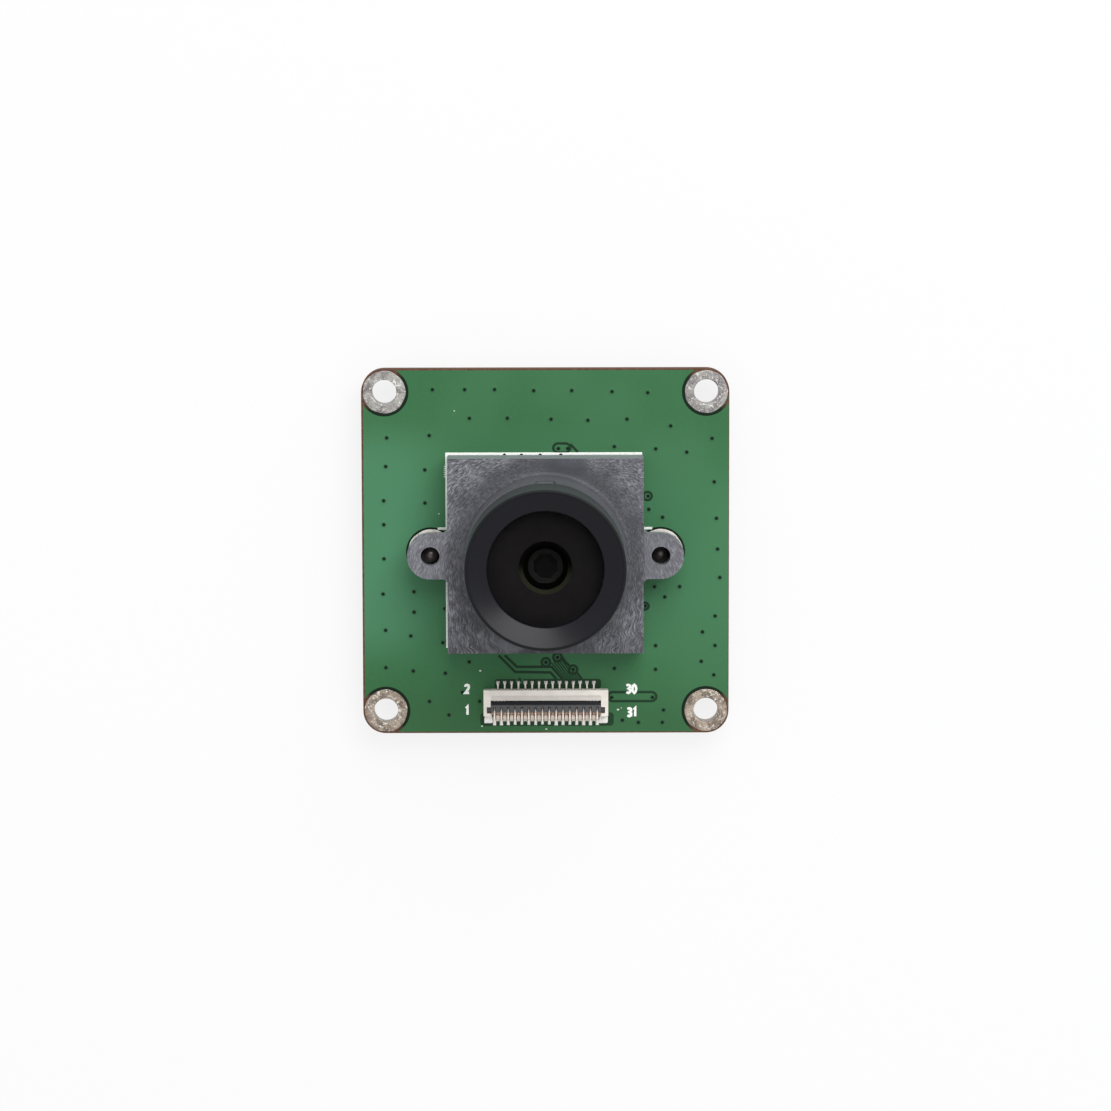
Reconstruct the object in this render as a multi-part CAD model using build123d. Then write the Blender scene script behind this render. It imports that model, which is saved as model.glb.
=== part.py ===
from build123d import *
import os

# A board camera: a square circuit board that carries a moulded holder with a
# screw-in lens, an image sensor under it, and a flip-lock connector for a flat
# cable. Millimetres. The origin is the centre of the four corner holes on the
# board's back face. +Z is the optical axis, out of the lens. -Y is the
# connector's edge of the board.

os.makedirs("parts", exist_ok=True)

# Circuit board
board_side = 32.0
board_thick = 1.6
hole_from_edge = 2.0
hole_d = 2.2
screw_pitch = 20.0
screw_hole_d = 2.2

# Lens holder
plate_side = 17.0
plate_high = 3.2
ear_radius = 2.0
ear_thick = 1.0
ear_rib = 2.7
ear_bevel = 0.3
pilot_d = 1.65
chamber_side = 14.4
chamber_high = 2.2
filter_side = 9.2
filter_thick = 0.3
filter_play = 0.1
light_hole_side = 8.2
light_ledge = 0.75
tower_d = 14.0
tower_high = 4.2
glue_notch_wide = 1.75
glue_notch_deep = 0.55
glue_notch_floor = 6.35

# Screws that hold the holder from the board's back
screw_long = 4.0
screw_core_play = 0.075
screw_head_d = 3.8
screw_head_high = 1.3
recess_long = 2.0
recess_wide = 0.45
recess_deep = 0.75

# Image sensor
sensor_long = 12.0
sensor_wide = 9.3
sensor_base_high = 0.95
sensor_rim = 1.2
sensor_well_deep = 0.5
die_long = 7.4
die_wide = 5.5
die_thick = 0.3
cover_inset = 0.45
cover_thick = 0.5

# Lens barrel
thread_d = 12.0
thread_play = 0.05
thread_long = 3.9
focus_gap = 0.3
head_d = 13.75
head_long = 5.3
head_bevel = 0.25
rim_wall = 0.4
stack_d = 5.4
stack_ledge = 0.6

# Lens front ring and glass
ring_view_d = 9.9
ring_fall = 0.85
ring_below_rim = 0.05
element_play = 0.02
front_edge_thick = 1.1
front_bulge_high = 0.75
front_hollow_d = 4.2
front_hollow_deep = 0.45
baffle_high = 1.25
baffle_eye_d = 3.9
second_thick = 1.1
second_hollow_deep = 0.35
stop_thick = 0.2
stop_eye_d = 1.8
third_thick = 2.2
third_clear_d = 3.8
third_bulge_high = 0.3

# Flat-cable connector
pitch = 0.3
edge_row_count = 16
housing_end = 0.95
housing_high = 1.0
housing_deep = 2.28
housing_from_edge = 1.64
roof_deep = 0.92
roof_thick = 0.2
roof_step_deep = 0.08
roof_step_from = 0.47
floor_thick = 0.2
well_end = 0.33
mouth_end = 0.375
mouth_high = 0.3
mouth_wall = 0.25
mouth_sill = 0.3
groove_wide = 0.2
contact_wide = 0.14
contact_beam = 0.12
contact_mouth_gap = 0.1
contact_floor_gap = 0.02
arm_z = 0.56
arm_thick = 0.08
arm_post_from_roof = 0.3
edge_foot_long = 0.82
lens_foot_long = 0.58
heel_wide = 0.3
heel_high = 0.42

# Flip lock of the connector
pivot_from_back = 0.51
pivot_high = 0.55
shaft_r = 0.13
shaft_sides = 8
shaft_play = 0.03
lug_r = 0.24
lug_long = 0.3
lug_play = 0.04
lock_play = 0.03
lock_bottom = 0.66
lock_rear = 0.2
lock_step_deep = 0.08
lock_step_end = 0.92
lock_slope_wide = 0.35
lock_slope_fall = 0.12
lock_slot_end = 0.37
lock_slot_play = 0.03
hook_thick = 0.13
hook_nose = 0.15
hook_reach = 0.13
hook_root_gap = 0.58
hook_root_wide = 0.2

# Solder tabs of the connector
tab_long = 0.62
tab_wide = 0.64
tab_thick = 0.12
tab_high = 0.5
tab_inset = 0.1

# Voltage regulators on the back
regulator_long = 2.9
regulator_wide = 1.6
regulator_high = 1.1
regulator_stand_off = 0.08
regulator_draft = 0.08
lead_span = 2.8
lead_wide = 0.38
lead_thick = 0.15
lead_pitch = 0.95
lead_foot = 0.35
regulator_spacing = 9.0
regulator_y = -8.6

# Oscillator on the back
oscillator_long = 3.2
oscillator_wide = 2.5
oscillator_base_high = 0.6
oscillator_lid_high = 0.25
oscillator_lid_inset = 0.25
oscillator_corner = 0.2
oscillator_x = 8.4
oscillator_y = 8.0

# Chip capacitors and resistors on the back
chip_long = 1.0
chip_wide = 0.5
capacitor_high = 0.5
resistor_high = 0.35
sensor_row_count = 6
sensor_row_pitch = 1.8
sensor_row_y = 5.2
regulator_chip_gap = 1.0
resistor_row_x = -9.4
resistor_row_y = 6.2
resistor_row_pitch = 1.2
resistor_count = 4

# How far a cutting block runs past a face, and how near two values count as equal
past = 1.0
near = 0.001

# The share of a wall that a fillet or chamfer may take at most
most_of_wall = 0.8

# Heights and places that follow from the sizes above
hole_pitch = board_side - 2 * hole_from_edge
plate_top = board_thick + plate_high
tower_top = plate_top + tower_high
chamber_top = board_thick + chamber_high
ledge_bottom = chamber_top + filter_thick + filter_play / 2
ledge_top = ledge_bottom + light_ledge
head_bottom = tower_top + focus_gap
rim_z = head_bottom + head_long
barrel_bottom = head_bottom - thread_long
thread_r = thread_d / 2 - thread_play
stack_r = stack_d / 2
ring_r = head_d / 2 - rim_wall
ring_top = rim_z - ring_below_rim
front_top = ring_top - ring_fall
front_bottom = front_top - front_edge_thick
baffle_bottom = front_bottom - baffle_high
second_bottom = baffle_bottom - second_thick
stop_bottom = second_bottom - stop_thick
third_bottom = stop_bottom - third_thick
contacts_long = (edge_row_count - 1) * 2 * pitch
housing_long = contacts_long + 2 * housing_end
well_long = contacts_long + 2 * well_end
housing_back_y = -board_side / 2 + housing_from_edge
housing_front_y = housing_back_y + housing_deep
pivot_y = housing_back_y + pivot_from_back
roof_back_y = housing_front_y - roof_deep
arm_post_y = roof_back_y - arm_post_from_roof
hook_root_y = pivot_y - hook_root_gap
beam_tip_y = housing_front_y - mouth_wall - contact_mouth_gap
floor_heel_y = housing_back_y - contact_floor_gap
screw_xs = {"left": -screw_pitch / 2, "right": screw_pitch / 2}


def block(x0, x1, y0, y1, z0, z1):
    """A box between two planes on each axis."""
    middle = Pos((x0 + x1) / 2, (y0 + y1) / 2, (z0 + z1) / 2)
    return middle * Box(x1 - x0, y1 - y0, z1 - z0)


def disc(radius, z0, z1, x=0.0, y=0.0):
    """An upright cylinder between two heights."""
    return Pos(x, y, (z0 + z1) / 2) * Cylinder(radius, z1 - z0)


def turned(points):
    """A body of revolution about Z from a closed outline of (radius, height)."""
    return revolve(Plane.XZ * make_face(Polyline(*points, close=True)), Axis.Z)


def blade(points, x, wide):
    """A flat strip of metal standing in the YZ plane, from its outline of (y, z)."""
    outline = Plane.YZ.offset(x - wide / 2) * make_face(Polyline(*points, close=True))
    return extrude(outline, wide)


def dome(ring_d, ring_z, high):
    """The part of a ball above a ring, or below it where the height is negative: a lens's face."""
    ring_r = ring_d / 2
    ball_r = (ring_r ** 2 + high ** 2) / (2 * abs(high))
    top_z = ring_z + high
    centre_z = top_z - ball_r if high > 0 else top_z + ball_r
    ball = Pos(0, 0, centre_z) * Rot(90, 0, 0) * Sphere(ball_r)
    return ball & disc(ring_r, min(ring_z, top_z + high), max(ring_z, top_z + high))


def corner_places(spacing):
    """The four corners of a square about the optical axis."""
    half = spacing / 2
    return [(x, y) for x in (-half, half) for y in (-half, half)]


def board():
    """The laminate with a hole in each corner and one for each screw of the holder."""
    body = extrude(RectangleRounded(board_side, board_side, hole_from_edge), board_thick)
    for x, y in corner_places(hole_pitch):
        body -= disc(hole_d / 2, -past, board_thick + past, x, y)
    for x in screw_xs.values():
        body -= disc(screw_hole_d / 2, -past, board_thick + past, x, 0)
    return body


def ear(x):
    """One screw ear: a thin tongue with a round end, and a rib below it that stands on the board."""
    under = plate_top - ear_thick
    tongue = block(min(0, x), max(0, x), -ear_radius, ear_radius, under, plate_top)
    tongue += disc(ear_radius, under, plate_top, x, 0)
    x0, x1 = sorted((0, x * (1 + ear_rib / screw_pitch)))
    return tongue + block(x0, x1, -ear_rib / 2, ear_rib / 2, board_thick, under)


def holder_outside():
    """The square plate with its two ears and the round tower."""
    half = plate_side / 2
    body = block(-half, half, -half, half, board_thick, plate_top)
    for x in screw_xs.values():
        body += ear(x)
    upright = body.edges().filter_by(Axis.Z)
    at_side = upright.filter_by(lambda e: abs(abs(e.center().X) - half) < near)
    at_ear = at_side.filter_by(lambda e: abs(abs(e.center().Y) - ear_radius) < near)
    body = chamfer(at_ear, min(ear_bevel, (screw_pitch / 2 - half) * most_of_wall))
    return body + disc(tower_d / 2, board_thick, tower_top)


def lens_holder():
    """The moulded holder: sensor chamber below, filter seat, then the lens bore."""
    body = holder_outside()
    half = chamber_side / 2
    body -= block(-half, half, -half, half, board_thick - past, chamber_top)
    half = filter_side / 2 + filter_play
    body -= block(-half, half, -half, half, chamber_top - past, ledge_bottom)
    half = light_hole_side / 2
    body -= block(-half, half, -half, half, ledge_bottom - past, ledge_top + past)
    body -= disc(thread_d / 2, ledge_top, tower_top + past)
    for side in (-1, 1):
        inner, outer = sorted((side * glue_notch_floor, side * tower_d))
        half = glue_notch_wide / 2
        body -= block(-half, half, inner, outer, tower_top - glue_notch_deep, tower_top + past)
    for x in screw_xs.values():
        body -= disc(pilot_d / 2, board_thick - past, plate_top + past, x, 0)
    return body


def holder_screw(x):
    """A self-tapping screw from the back, whose core runs up the holder's pilot hole."""
    bottom = -screw_head_high
    body = disc(screw_head_d / 2, bottom, 0)
    body += disc(pilot_d / 2 - screw_core_play, 0, screw_long)
    for long_x, long_y in ((recess_long, recess_wide), (recess_wide, recess_long)):
        body -= Pos(0, 0, bottom + recess_deep / 2) * Box(long_x, long_y, recess_deep)
    return Pos(x, 0, 0) * body


def ir_filter():
    """The square infrared filter, glued up against its ledge over the sensor."""
    half = filter_side / 2
    return block(-half, half, -half, half, ledge_bottom - filter_thick, ledge_bottom)


def sensor_package():
    """The sensor's base, with a well for the die."""
    x, y = sensor_long / 2, sensor_wide / 2
    top = board_thick + sensor_base_high
    base = block(-x, x, -y, y, board_thick, top)
    x, y = x - sensor_rim, y - sensor_rim
    return base - block(-x, x, -y, y, top - sensor_well_deep, top + past)


def sensor_die():
    """The light-sensitive chip in the well, centred on the optical axis."""
    x, y = die_long / 2, die_wide / 2
    low = board_thick + sensor_base_high - sensor_well_deep
    return block(-x, x, -y, y, low, low + die_thick)


def sensor_cover():
    """The glass lid on the sensor's rim."""
    x, y = sensor_long / 2 - cover_inset, sensor_wide / 2 - cover_inset
    low = board_thick + sensor_base_high
    return block(-x, x, -y, y, low, low + cover_thick)


def lens_barrel():
    """The turned barrel: a wide head over the threaded part, bored from the front for the glass."""
    head_r = head_d / 2
    tail_r = stack_r - stack_ledge
    return turned([
        (tail_r, barrel_bottom),
        (thread_r, barrel_bottom),
        (thread_r, head_bottom),
        (head_r, head_bottom),
        (head_r, rim_z - head_bevel),
        (head_r - head_bevel, rim_z),
        (ring_r, rim_z),
        (ring_r, front_bottom),
        (stack_r, front_bottom),
        (stack_r, third_bottom),
        (tail_r, third_bottom),
    ])


def front_ring():
    """The coned ring pressed into the rim, which holds the whole stack of glass down."""
    r = ring_r - element_play
    return turned([(r, front_top), (r, ring_top), (ring_view_d / 2, front_top)])


def front_element():
    """The front meniscus, bulging out and hollow behind."""
    edge = disc(ring_r - element_play, front_bottom, front_top)
    bulge = dome(ring_view_d, front_top, front_bulge_high)
    return edge + bulge - dome(front_hollow_d, front_bottom, front_hollow_deep)


def light_baffle():
    """The black ring behind the front glass, seen as a dark field around the eye."""
    eye = disc(baffle_eye_d / 2, baffle_bottom - past, front_bottom + past)
    return disc(stack_r - element_play, baffle_bottom, front_bottom) - eye


def second_element():
    """The small hollow lens under the eye, hollow right across."""
    r = stack_r - element_play
    return disc(r, second_bottom, baffle_bottom) - dome(2 * r, baffle_bottom, -second_hollow_deep)


def aperture_stop():
    """The thin plate whose hole sets how much light passes."""
    eye = disc(stop_eye_d / 2, stop_bottom - past, second_bottom + past)
    return disc(stack_r - element_play, stop_bottom, second_bottom) - eye


def third_element():
    """The collecting lens below the stop, flat above and bulging below, on the barrel's ledge."""
    edge = disc(stack_r - element_play, third_bottom, stop_bottom)
    return edge + dome(third_clear_d, third_bottom, -third_bulge_high)


def row_xs(count):
    """Where one row of contacts stands, every second pitch, about the middle."""
    return [(k - (count - 1) / 2) * 2 * pitch for k in range(count)]


def connector_housing():
    """The moulded housing: roof over the cable's mouth, open well behind, two side arms."""
    half = housing_long / 2
    well = well_long / 2
    base = board_thick
    top = base + housing_high
    floor = base + floor_thick
    body = block(-half, half, housing_back_y, housing_front_y, base, top)
    wall_y = housing_front_y - mouth_wall
    body -= block(-well, well, housing_back_y - past, roof_back_y, floor, top + past)
    body -= block(-well, well, roof_back_y - past, wall_y, floor, top - roof_thick)
    mouth = contacts_long / 2 + mouth_end
    sill = base + mouth_sill
    body -= block(-mouth, mouth, wall_y, housing_front_y + past, sill, sill + mouth_high)
    step_y = housing_front_y - roof_step_from
    body -= block(-well, well, roof_back_y - past, step_y, top - roof_step_deep, top + past)
    pocket_r = lug_r + lug_play
    pocket_x = well + lug_long + lug_play
    pocket_z = base + pivot_high - pocket_r
    body -= block(-pocket_x, pocket_x, pivot_y - pocket_r, pivot_y + pocket_r, pocket_z, top + past)
    groove = groove_wide / 2
    groove_back_y = wall_y - 3 * contact_beam
    for x in row_xs(edge_row_count - 1):
        body -= block(x - groove, x + groove, groove_back_y, housing_front_y + past, base - past, sill)
    return body


def upper_arm_points(root_y):
    """The outline shared by both contacts: beam, post and the arm that presses on the cable."""
    high = board_thick + floor_thick + contact_beam
    arm_low = board_thick + arm_z
    return [
        (root_y, high),
        (arm_post_y - contact_beam, high),
        (arm_post_y - contact_beam, arm_low + arm_thick),
        (beam_tip_y, arm_low),
        (arm_post_y, arm_low),
    ]


def edge_row_contact(x):
    """A contact whose foot points to the board's edge, with a hook over the lock's shaft."""
    base = board_thick
    low = base + floor_thick
    axle = base + pivot_high
    grip = shaft_r + shaft_play
    hook_top = axle + grip + hook_thick
    root = hook_root_y
    heel = root - hook_root_wide
    foot_end = housing_back_y - edge_foot_long
    outline = upper_arm_points(root) + [
        (arm_post_y, low),
        (floor_heel_y, low),
        (floor_heel_y, base),
        (foot_end, base),
        (foot_end, base + contact_beam),
        (heel, base + contact_beam),
        (heel, hook_top),
        (pivot_y + hook_reach, hook_top),
        (pivot_y + hook_reach, hook_top - hook_nose),
        (root, axle + grip),
    ]
    return blade(outline, x, contact_wide)


def lens_row_contact(x):
    """A contact whose foot points to the lens, through a groove under the mouth."""
    base = board_thick
    low = base + floor_thick
    neck = housing_front_y - mouth_wall
    back = floor_heel_y
    foot_end = housing_front_y + lens_foot_long
    outline = upper_arm_points(back) + [
        (arm_post_y, low + contact_beam),
        (neck, low + contact_beam),
        (neck + contact_beam, base + contact_beam),
        (foot_end, base + contact_beam),
        (foot_end, base),
        (neck - contact_beam, base),
        (neck - contact_beam, low),
        (back, low),
    ]
    strip = blade(outline, x, contact_wide)
    arch = blade([
        (back, low),
        (back, base + heel_high),
        (back - heel_wide, base + heel_high),
        (back - heel_wide * 2, base),
        (back - contact_beam, base),
    ], x, heel_wide)
    return strip + arch


def contact_row(maker, count):
    """One row of equal contacts, each a solid of its own."""
    return Compound(children=[maker(x) for x in row_xs(count)])


def connector_actuator():
    """The flip lock: a slotted flap on a shaft that turns under the contacts' hooks."""
    base = board_thick
    axle = base + pivot_high
    top = base + housing_high
    half = well_long / 2 - lock_play
    free = roof_back_y - lock_play
    low = base + lock_bottom
    section = [
        (pivot_y - lock_rear, low),
        (pivot_y - lock_rear, top - lock_slope_fall / 2),
        (pivot_y - lock_rear + lock_slope_fall / 2, top),
        (free - lock_slope_wide, top),
        (free, top - lock_slope_fall),
        (free, low),
    ]
    flap = blade(section, 0, 2 * half)
    for side in (-1, 1):
        inner, outer = sorted((side * (contacts_long / 2 - lock_step_end), side * (half + past)))
        flap -= block(inner, outer, free - lock_step_deep, free + past, base, top + past)
    slot = contact_wide / 2 + lock_slot_play
    rear = pivot_y - lock_rear - past
    for x in row_xs(edge_row_count):
        flap -= block(x - slot, x + slot, rear, pivot_y + lock_slot_end, base, top + past)
    turn = Pos(0, pivot_y, axle) * Rot(0, 90, 0)
    shaft = turn * extrude(RegularPolygon(shaft_r, shaft_sides), half, both=True)
    lugs = turn * Cylinder(lug_r, 2 * (half + lug_long))
    lugs -= turn * Cylinder(lug_r + past, 2 * (half - lug_long / 2))
    return flap + shaft + lugs


def connector_tab(side):
    """A solder tab at the end of one side arm."""
    outer = housing_long / 2 - tab_inset
    inner = outer - tab_wide
    x0, x1 = sorted((side * inner, side * outer))
    base = board_thick
    foot = block(x0, x1, housing_back_y - tab_long, housing_back_y, base, base + tab_thick)
    inner = outer - (housing_long - well_long) / 2 + tab_inset
    x0, x1 = sorted((side * inner, side * outer))
    return foot + block(x0, x1, housing_back_y - tab_thick, housing_back_y, base, base + tab_high)


def regulator_body(x):
    """The moulded body of a voltage regulator, drafted, hanging from the board's back."""
    face = Rectangle(regulator_long - 2 * regulator_draft, regulator_wide - 2 * regulator_draft)
    foot = Rectangle(regulator_long, regulator_wide)
    body = loft([face, Pos(0, 0, regulator_high - regulator_stand_off) * foot])
    return Pos(x, regulator_y, -regulator_high) * body


def regulator_leads(x):
    """The five gull-wing leads of a voltage regulator."""
    out = lead_span / 2
    inner = regulator_wide / 2
    rise = regulator_high / 2
    outline = [
        (inner, -rise),
        (inner, -rise - lead_thick),
        (out - lead_foot, -lead_thick),
        (out, -lead_thick),
        (out, 0),
        (out - lead_foot - lead_thick, 0),
    ]
    leads = []
    for k in (-1, 0, 1):
        leads.append(blade(outline, k * lead_pitch, lead_wide))
    for k in (-1, 1):
        leads.append(Rot(0, 0, 180) * blade(outline, k * lead_pitch, lead_wide))
    return Compound(children=[Pos(x, regulator_y, 0) * lead for lead in leads])


def cut_corners(long, wide):
    """A rectangle with its four corners cut off."""
    return chamfer(Rectangle(long, wide).vertices(), oscillator_corner)


def oscillator_base():
    """The ceramic base of the clock oscillator."""
    outline = cut_corners(oscillator_long, oscillator_wide)
    return Pos(oscillator_x, oscillator_y, -oscillator_base_high) * extrude(outline, oscillator_base_high)


def oscillator_lid():
    """The metal lid of the clock oscillator."""
    taper = 2 * oscillator_lid_inset
    outline = cut_corners(oscillator_long - taper, oscillator_wide - taper)
    low = -oscillator_base_high - oscillator_lid_high
    return Pos(oscillator_x, oscillator_y, low) * extrude(outline, oscillator_lid_high)


def chip(x, y, high, angle=0):
    """A small chip part soldered to the board's back."""
    return Pos(x, y, -high / 2) * Rot(0, 0, angle) * Box(chip_long, chip_wide, high)


def capacitor_places():
    """Two rows along the sensor's edges, and one each side of every regulator."""
    places = []
    for y in (-sensor_row_y, sensor_row_y):
        for k in range(sensor_row_count):
            places.append(((k - (sensor_row_count - 1) / 2) * sensor_row_pitch, y))
    reach = regulator_long / 2 + regulator_chip_gap
    for centre in regulator_xs():
        places.append((centre - reach, regulator_y))
        places.append((centre + reach, regulator_y))
    return places


def regulator_xs():
    """The two regulators stand side by side about the middle."""
    return [-regulator_spacing / 2, regulator_spacing / 2]


export_step(board(), "parts/board.step")
export_step(lens_holder(), "parts/lens_holder.step")
for name, x in screw_xs.items():
    export_step(holder_screw(x), f"parts/holder_screw_{name}.step")
export_step(ir_filter(), "parts/ir_filter.step")
export_step(sensor_package(), "parts/sensor_package.step")
export_step(sensor_die(), "parts/sensor_die.step")
export_step(sensor_cover(), "parts/sensor_cover_glass.step")

export_step(lens_barrel(), "parts/lens_barrel.step")
export_step(front_ring(), "parts/lens_front_ring.step")
export_step(front_element(), "parts/lens_front_element.step")
export_step(light_baffle(), "parts/lens_light_baffle.step")
export_step(second_element(), "parts/lens_second_element.step")
export_step(aperture_stop(), "parts/lens_aperture_stop.step")
export_step(third_element(), "parts/lens_third_element.step")

export_step(connector_housing(), "parts/connector_housing.step")
export_step(connector_actuator(), "parts/connector_actuator.step")
export_step(contact_row(edge_row_contact, edge_row_count), "parts/contacts_edge_row.step")
export_step(contact_row(lens_row_contact, edge_row_count - 1), "parts/contacts_lens_row.step")
for name, side in {"left": -1, "right": 1}.items():
    export_step(connector_tab(side), f"parts/connector_tab_{name}.step")

for number, x in enumerate(regulator_xs(), start=1):
    export_step(regulator_body(x), f"parts/regulator_{number}_body.step")
    export_step(regulator_leads(x), f"parts/regulator_{number}_leads.step")
export_step(oscillator_base(), "parts/oscillator_base.step")
export_step(oscillator_lid(), "parts/oscillator_lid.step")
for number, (x, y) in enumerate(capacitor_places(), start=1):
    angle = 90 if y == regulator_y else 0
    export_step(chip(x, y, capacitor_high, angle), f"parts/capacitor_{number:02d}.step")
for number in range(1, resistor_count + 1):
    y = resistor_row_y + (number - 1) * resistor_row_pitch
    export_step(chip(resistor_row_x, y, resistor_high), f"parts/resistor_{number}.step")
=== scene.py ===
# %% [markdown]
# # A board camera, dressed in Blender
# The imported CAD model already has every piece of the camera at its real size
# and place. This lesson keeps those solids where they look right, gives them
# materials, and adds what a solid is too coarse to show: rounded lens parts,
# solder, plated holes, printed lines and the copper pattern under the lacquer.

import bmesh
import bpy
import numpy as np
from mathutils import Matrix, Vector


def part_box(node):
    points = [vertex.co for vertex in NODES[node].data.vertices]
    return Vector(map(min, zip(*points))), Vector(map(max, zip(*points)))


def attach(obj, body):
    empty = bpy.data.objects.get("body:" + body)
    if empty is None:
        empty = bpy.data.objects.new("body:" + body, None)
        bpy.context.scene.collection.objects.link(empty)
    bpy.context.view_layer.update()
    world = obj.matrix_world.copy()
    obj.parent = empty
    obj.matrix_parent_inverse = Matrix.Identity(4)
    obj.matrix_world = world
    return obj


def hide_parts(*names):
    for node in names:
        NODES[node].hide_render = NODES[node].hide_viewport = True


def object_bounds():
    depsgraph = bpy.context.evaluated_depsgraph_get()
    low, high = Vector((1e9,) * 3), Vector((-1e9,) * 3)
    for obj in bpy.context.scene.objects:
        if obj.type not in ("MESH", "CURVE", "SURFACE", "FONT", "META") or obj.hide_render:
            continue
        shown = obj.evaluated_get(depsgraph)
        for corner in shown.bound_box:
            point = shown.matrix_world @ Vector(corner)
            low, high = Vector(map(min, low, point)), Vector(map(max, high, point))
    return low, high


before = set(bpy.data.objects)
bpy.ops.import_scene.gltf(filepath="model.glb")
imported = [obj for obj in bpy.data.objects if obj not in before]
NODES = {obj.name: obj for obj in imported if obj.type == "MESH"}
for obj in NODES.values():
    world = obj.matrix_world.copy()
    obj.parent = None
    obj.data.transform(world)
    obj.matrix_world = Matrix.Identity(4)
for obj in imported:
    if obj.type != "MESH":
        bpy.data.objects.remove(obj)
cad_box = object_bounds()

MM = 0.001
print("CAD nodes:", len(NODES))
print("box in mm:", [[round(v / MM, 2) for v in corner] for corner in cad_box])

# %% [markdown]
# ## Heights that everything else stands on
# A designer measures from the parts that are already there. The board's two
# faces, the holder's plate and tower and the lens's rim are read from the
# frame, so that each new piece sits on the real surface.


# %% Heights from the frame, in mm
def low_high(node, axis):
    """The lowest and highest place of a CAD node along one axis, in mm."""
    low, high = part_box(node)
    return low[axis] / MM, high[axis] / MM


def box_corners(node):
    """The lowest and the highest corner of a CAD node, in mm."""
    return np.array(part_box(node)) / MM


X, Y, Z = 0, 1, 2
BACK, FRONT = low_high("board", Z)
HALF_BOARD = low_high("board", X)[1]
TOWER_TOP = low_high("lens_holder", Z)[1]
BARREL_FOOT, RIM = low_high("lens_barrel", Z)
HEAD_R = low_high("lens_barrel", X)[1]
PLATE_TOP = 4.8
TOWER_R = 7.0
HOLE_AT = 14.0
EAR_AT = 10.0
HOLE_PLACES = [(x, y) for x in (-HOLE_AT, HOLE_AT) for y in (-HOLE_AT, HOLE_AT)]
EAR_PLACES = [(-EAR_AT, 0.0), (EAR_AT, 0.0)]
print(f"board {BACK:.2f} to {FRONT:.2f}, tower {TOWER_TOP:.2f}, rim {RIM:.2f}")

# %% [markdown]
# ## The camera
# The photograph is taken from almost straight above with a long lens. The
# board's upper side wall just shows and the lens leans downward, which gives a
# tilt of about seven degrees. The numbers come from matching seven points.

# %% Camera at the photograph's angle
CAMERA_TARGET = Vector((0.866, -0.326, 1.65)) * MM
CAMERA_DISTANCE = 400 * MM
CAMERA_TILT = np.radians(7.23)
CAMERA_SIDE = np.radians(-0.06)
CAMERA_ROLL = np.radians(0.112)
CAMERA_LENS = 148.56
CAMERA_SENSOR = 36.0


def put(name, data):
    """A new object in the scene that holds a mesh, a lamp or a camera."""
    made = bpy.data.objects.new(name, data)
    bpy.context.scene.collection.objects.link(made)
    return made


def aim(camera, target, distance):
    """Stands the camera off its target along the tilted axis and turns it by the roll."""
    away = Vector((
        np.sin(CAMERA_SIDE),
        np.sin(CAMERA_TILT) * np.cos(CAMERA_SIDE),
        np.cos(CAMERA_TILT) * np.cos(CAMERA_SIDE),
    ))
    upward = Vector((np.sin(CAMERA_ROLL), np.cos(CAMERA_ROLL), 0.0))
    right = upward.cross(away).normalized()
    turn = Matrix((right, away.cross(right), away)).transposed().to_4x4()
    camera.matrix_world = Matrix.Translation(target + distance * away) @ turn


camera_data = bpy.data.cameras.new("camera")
camera_data.lens = CAMERA_LENS
camera_data.sensor_width = CAMERA_SENSOR
camera_data.clip_start = 0.01
camera = put("camera", camera_data)
aim(camera, CAMERA_TARGET, CAMERA_DISTANCE)
bpy.context.scene.camera = camera
print("camera stands", round(camera.location.length / MM), "mm from the origin")

# %% [markdown]
# ## A small kit for node materials
# A procedural material is a little network. These helpers add one node at a
# time and wire whatever is handed to them, so a finish reads like a recipe:
# measure the place in millimetres, make a pattern from it, mix two colours.


# %% Helpers for materials
def colour(red, green, blue):
    """A display colour from 0 to 255 as the linear colour that shaders use."""
    value = np.array([red, green, blue]) / 255
    linear = np.where(value < 0.04045, value / 12.92, ((value + 0.055) / 1.055) ** 2.4)
    return (*linear.tolist(), 1.0)


def wire(tree, socket, value):
    """Links another node's output into a socket, or sets a plain value."""
    if isinstance(value, bpy.types.NodeSocket):
        tree.links.new(value, socket)
    elif value is not None:
        socket.default_value = value


def add(tree, kind, inputs=(), **properties):
    """Adds a node, sets its properties and fills its sockets by name or number."""
    made = tree.nodes.new(kind)
    for key, value in properties.items():
        setattr(made, key, value)
    for key, value in dict(inputs).items():
        wire(tree, made.inputs[key], value)
    return made


def calc(tree, operation, a, b=None, c=None):
    """One arithmetic step on numbers."""
    return add(tree, "ShaderNodeMath", {0: a, 1: b, 2: c}, operation=operation).outputs[0]


def plus(tree, a, b):
    """The sum of two numbers."""
    return calc(tree, "ADD", a, b)


def minus(tree, a, b):
    """The first number less the second."""
    return calc(tree, "SUBTRACT", a, b)


def times(tree, a, b):
    """The product of two numbers."""
    return calc(tree, "MULTIPLY", a, b)


def squares(tree, a, b):
    """The sum of two squares, a^2 + b^2."""
    return plus(tree, calc(tree, "POWER", a, 2.0), calc(tree, "POWER", b, 2.0))


def place(tree):
    """The place on the object in millimetres, and its three parts."""
    spot = add(tree, "ShaderNodeTexCoord").outputs["Object"]
    scaled = add(tree, "ShaderNodeVectorMath", {0: spot, "Scale": 1 / MM}, operation="SCALE")
    parts = add(tree, "ShaderNodeSeparateXYZ", {0: scaled.outputs[0]})
    return scaled.outputs[0], parts.outputs[0], parts.outputs[1], parts.outputs[2]


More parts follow.
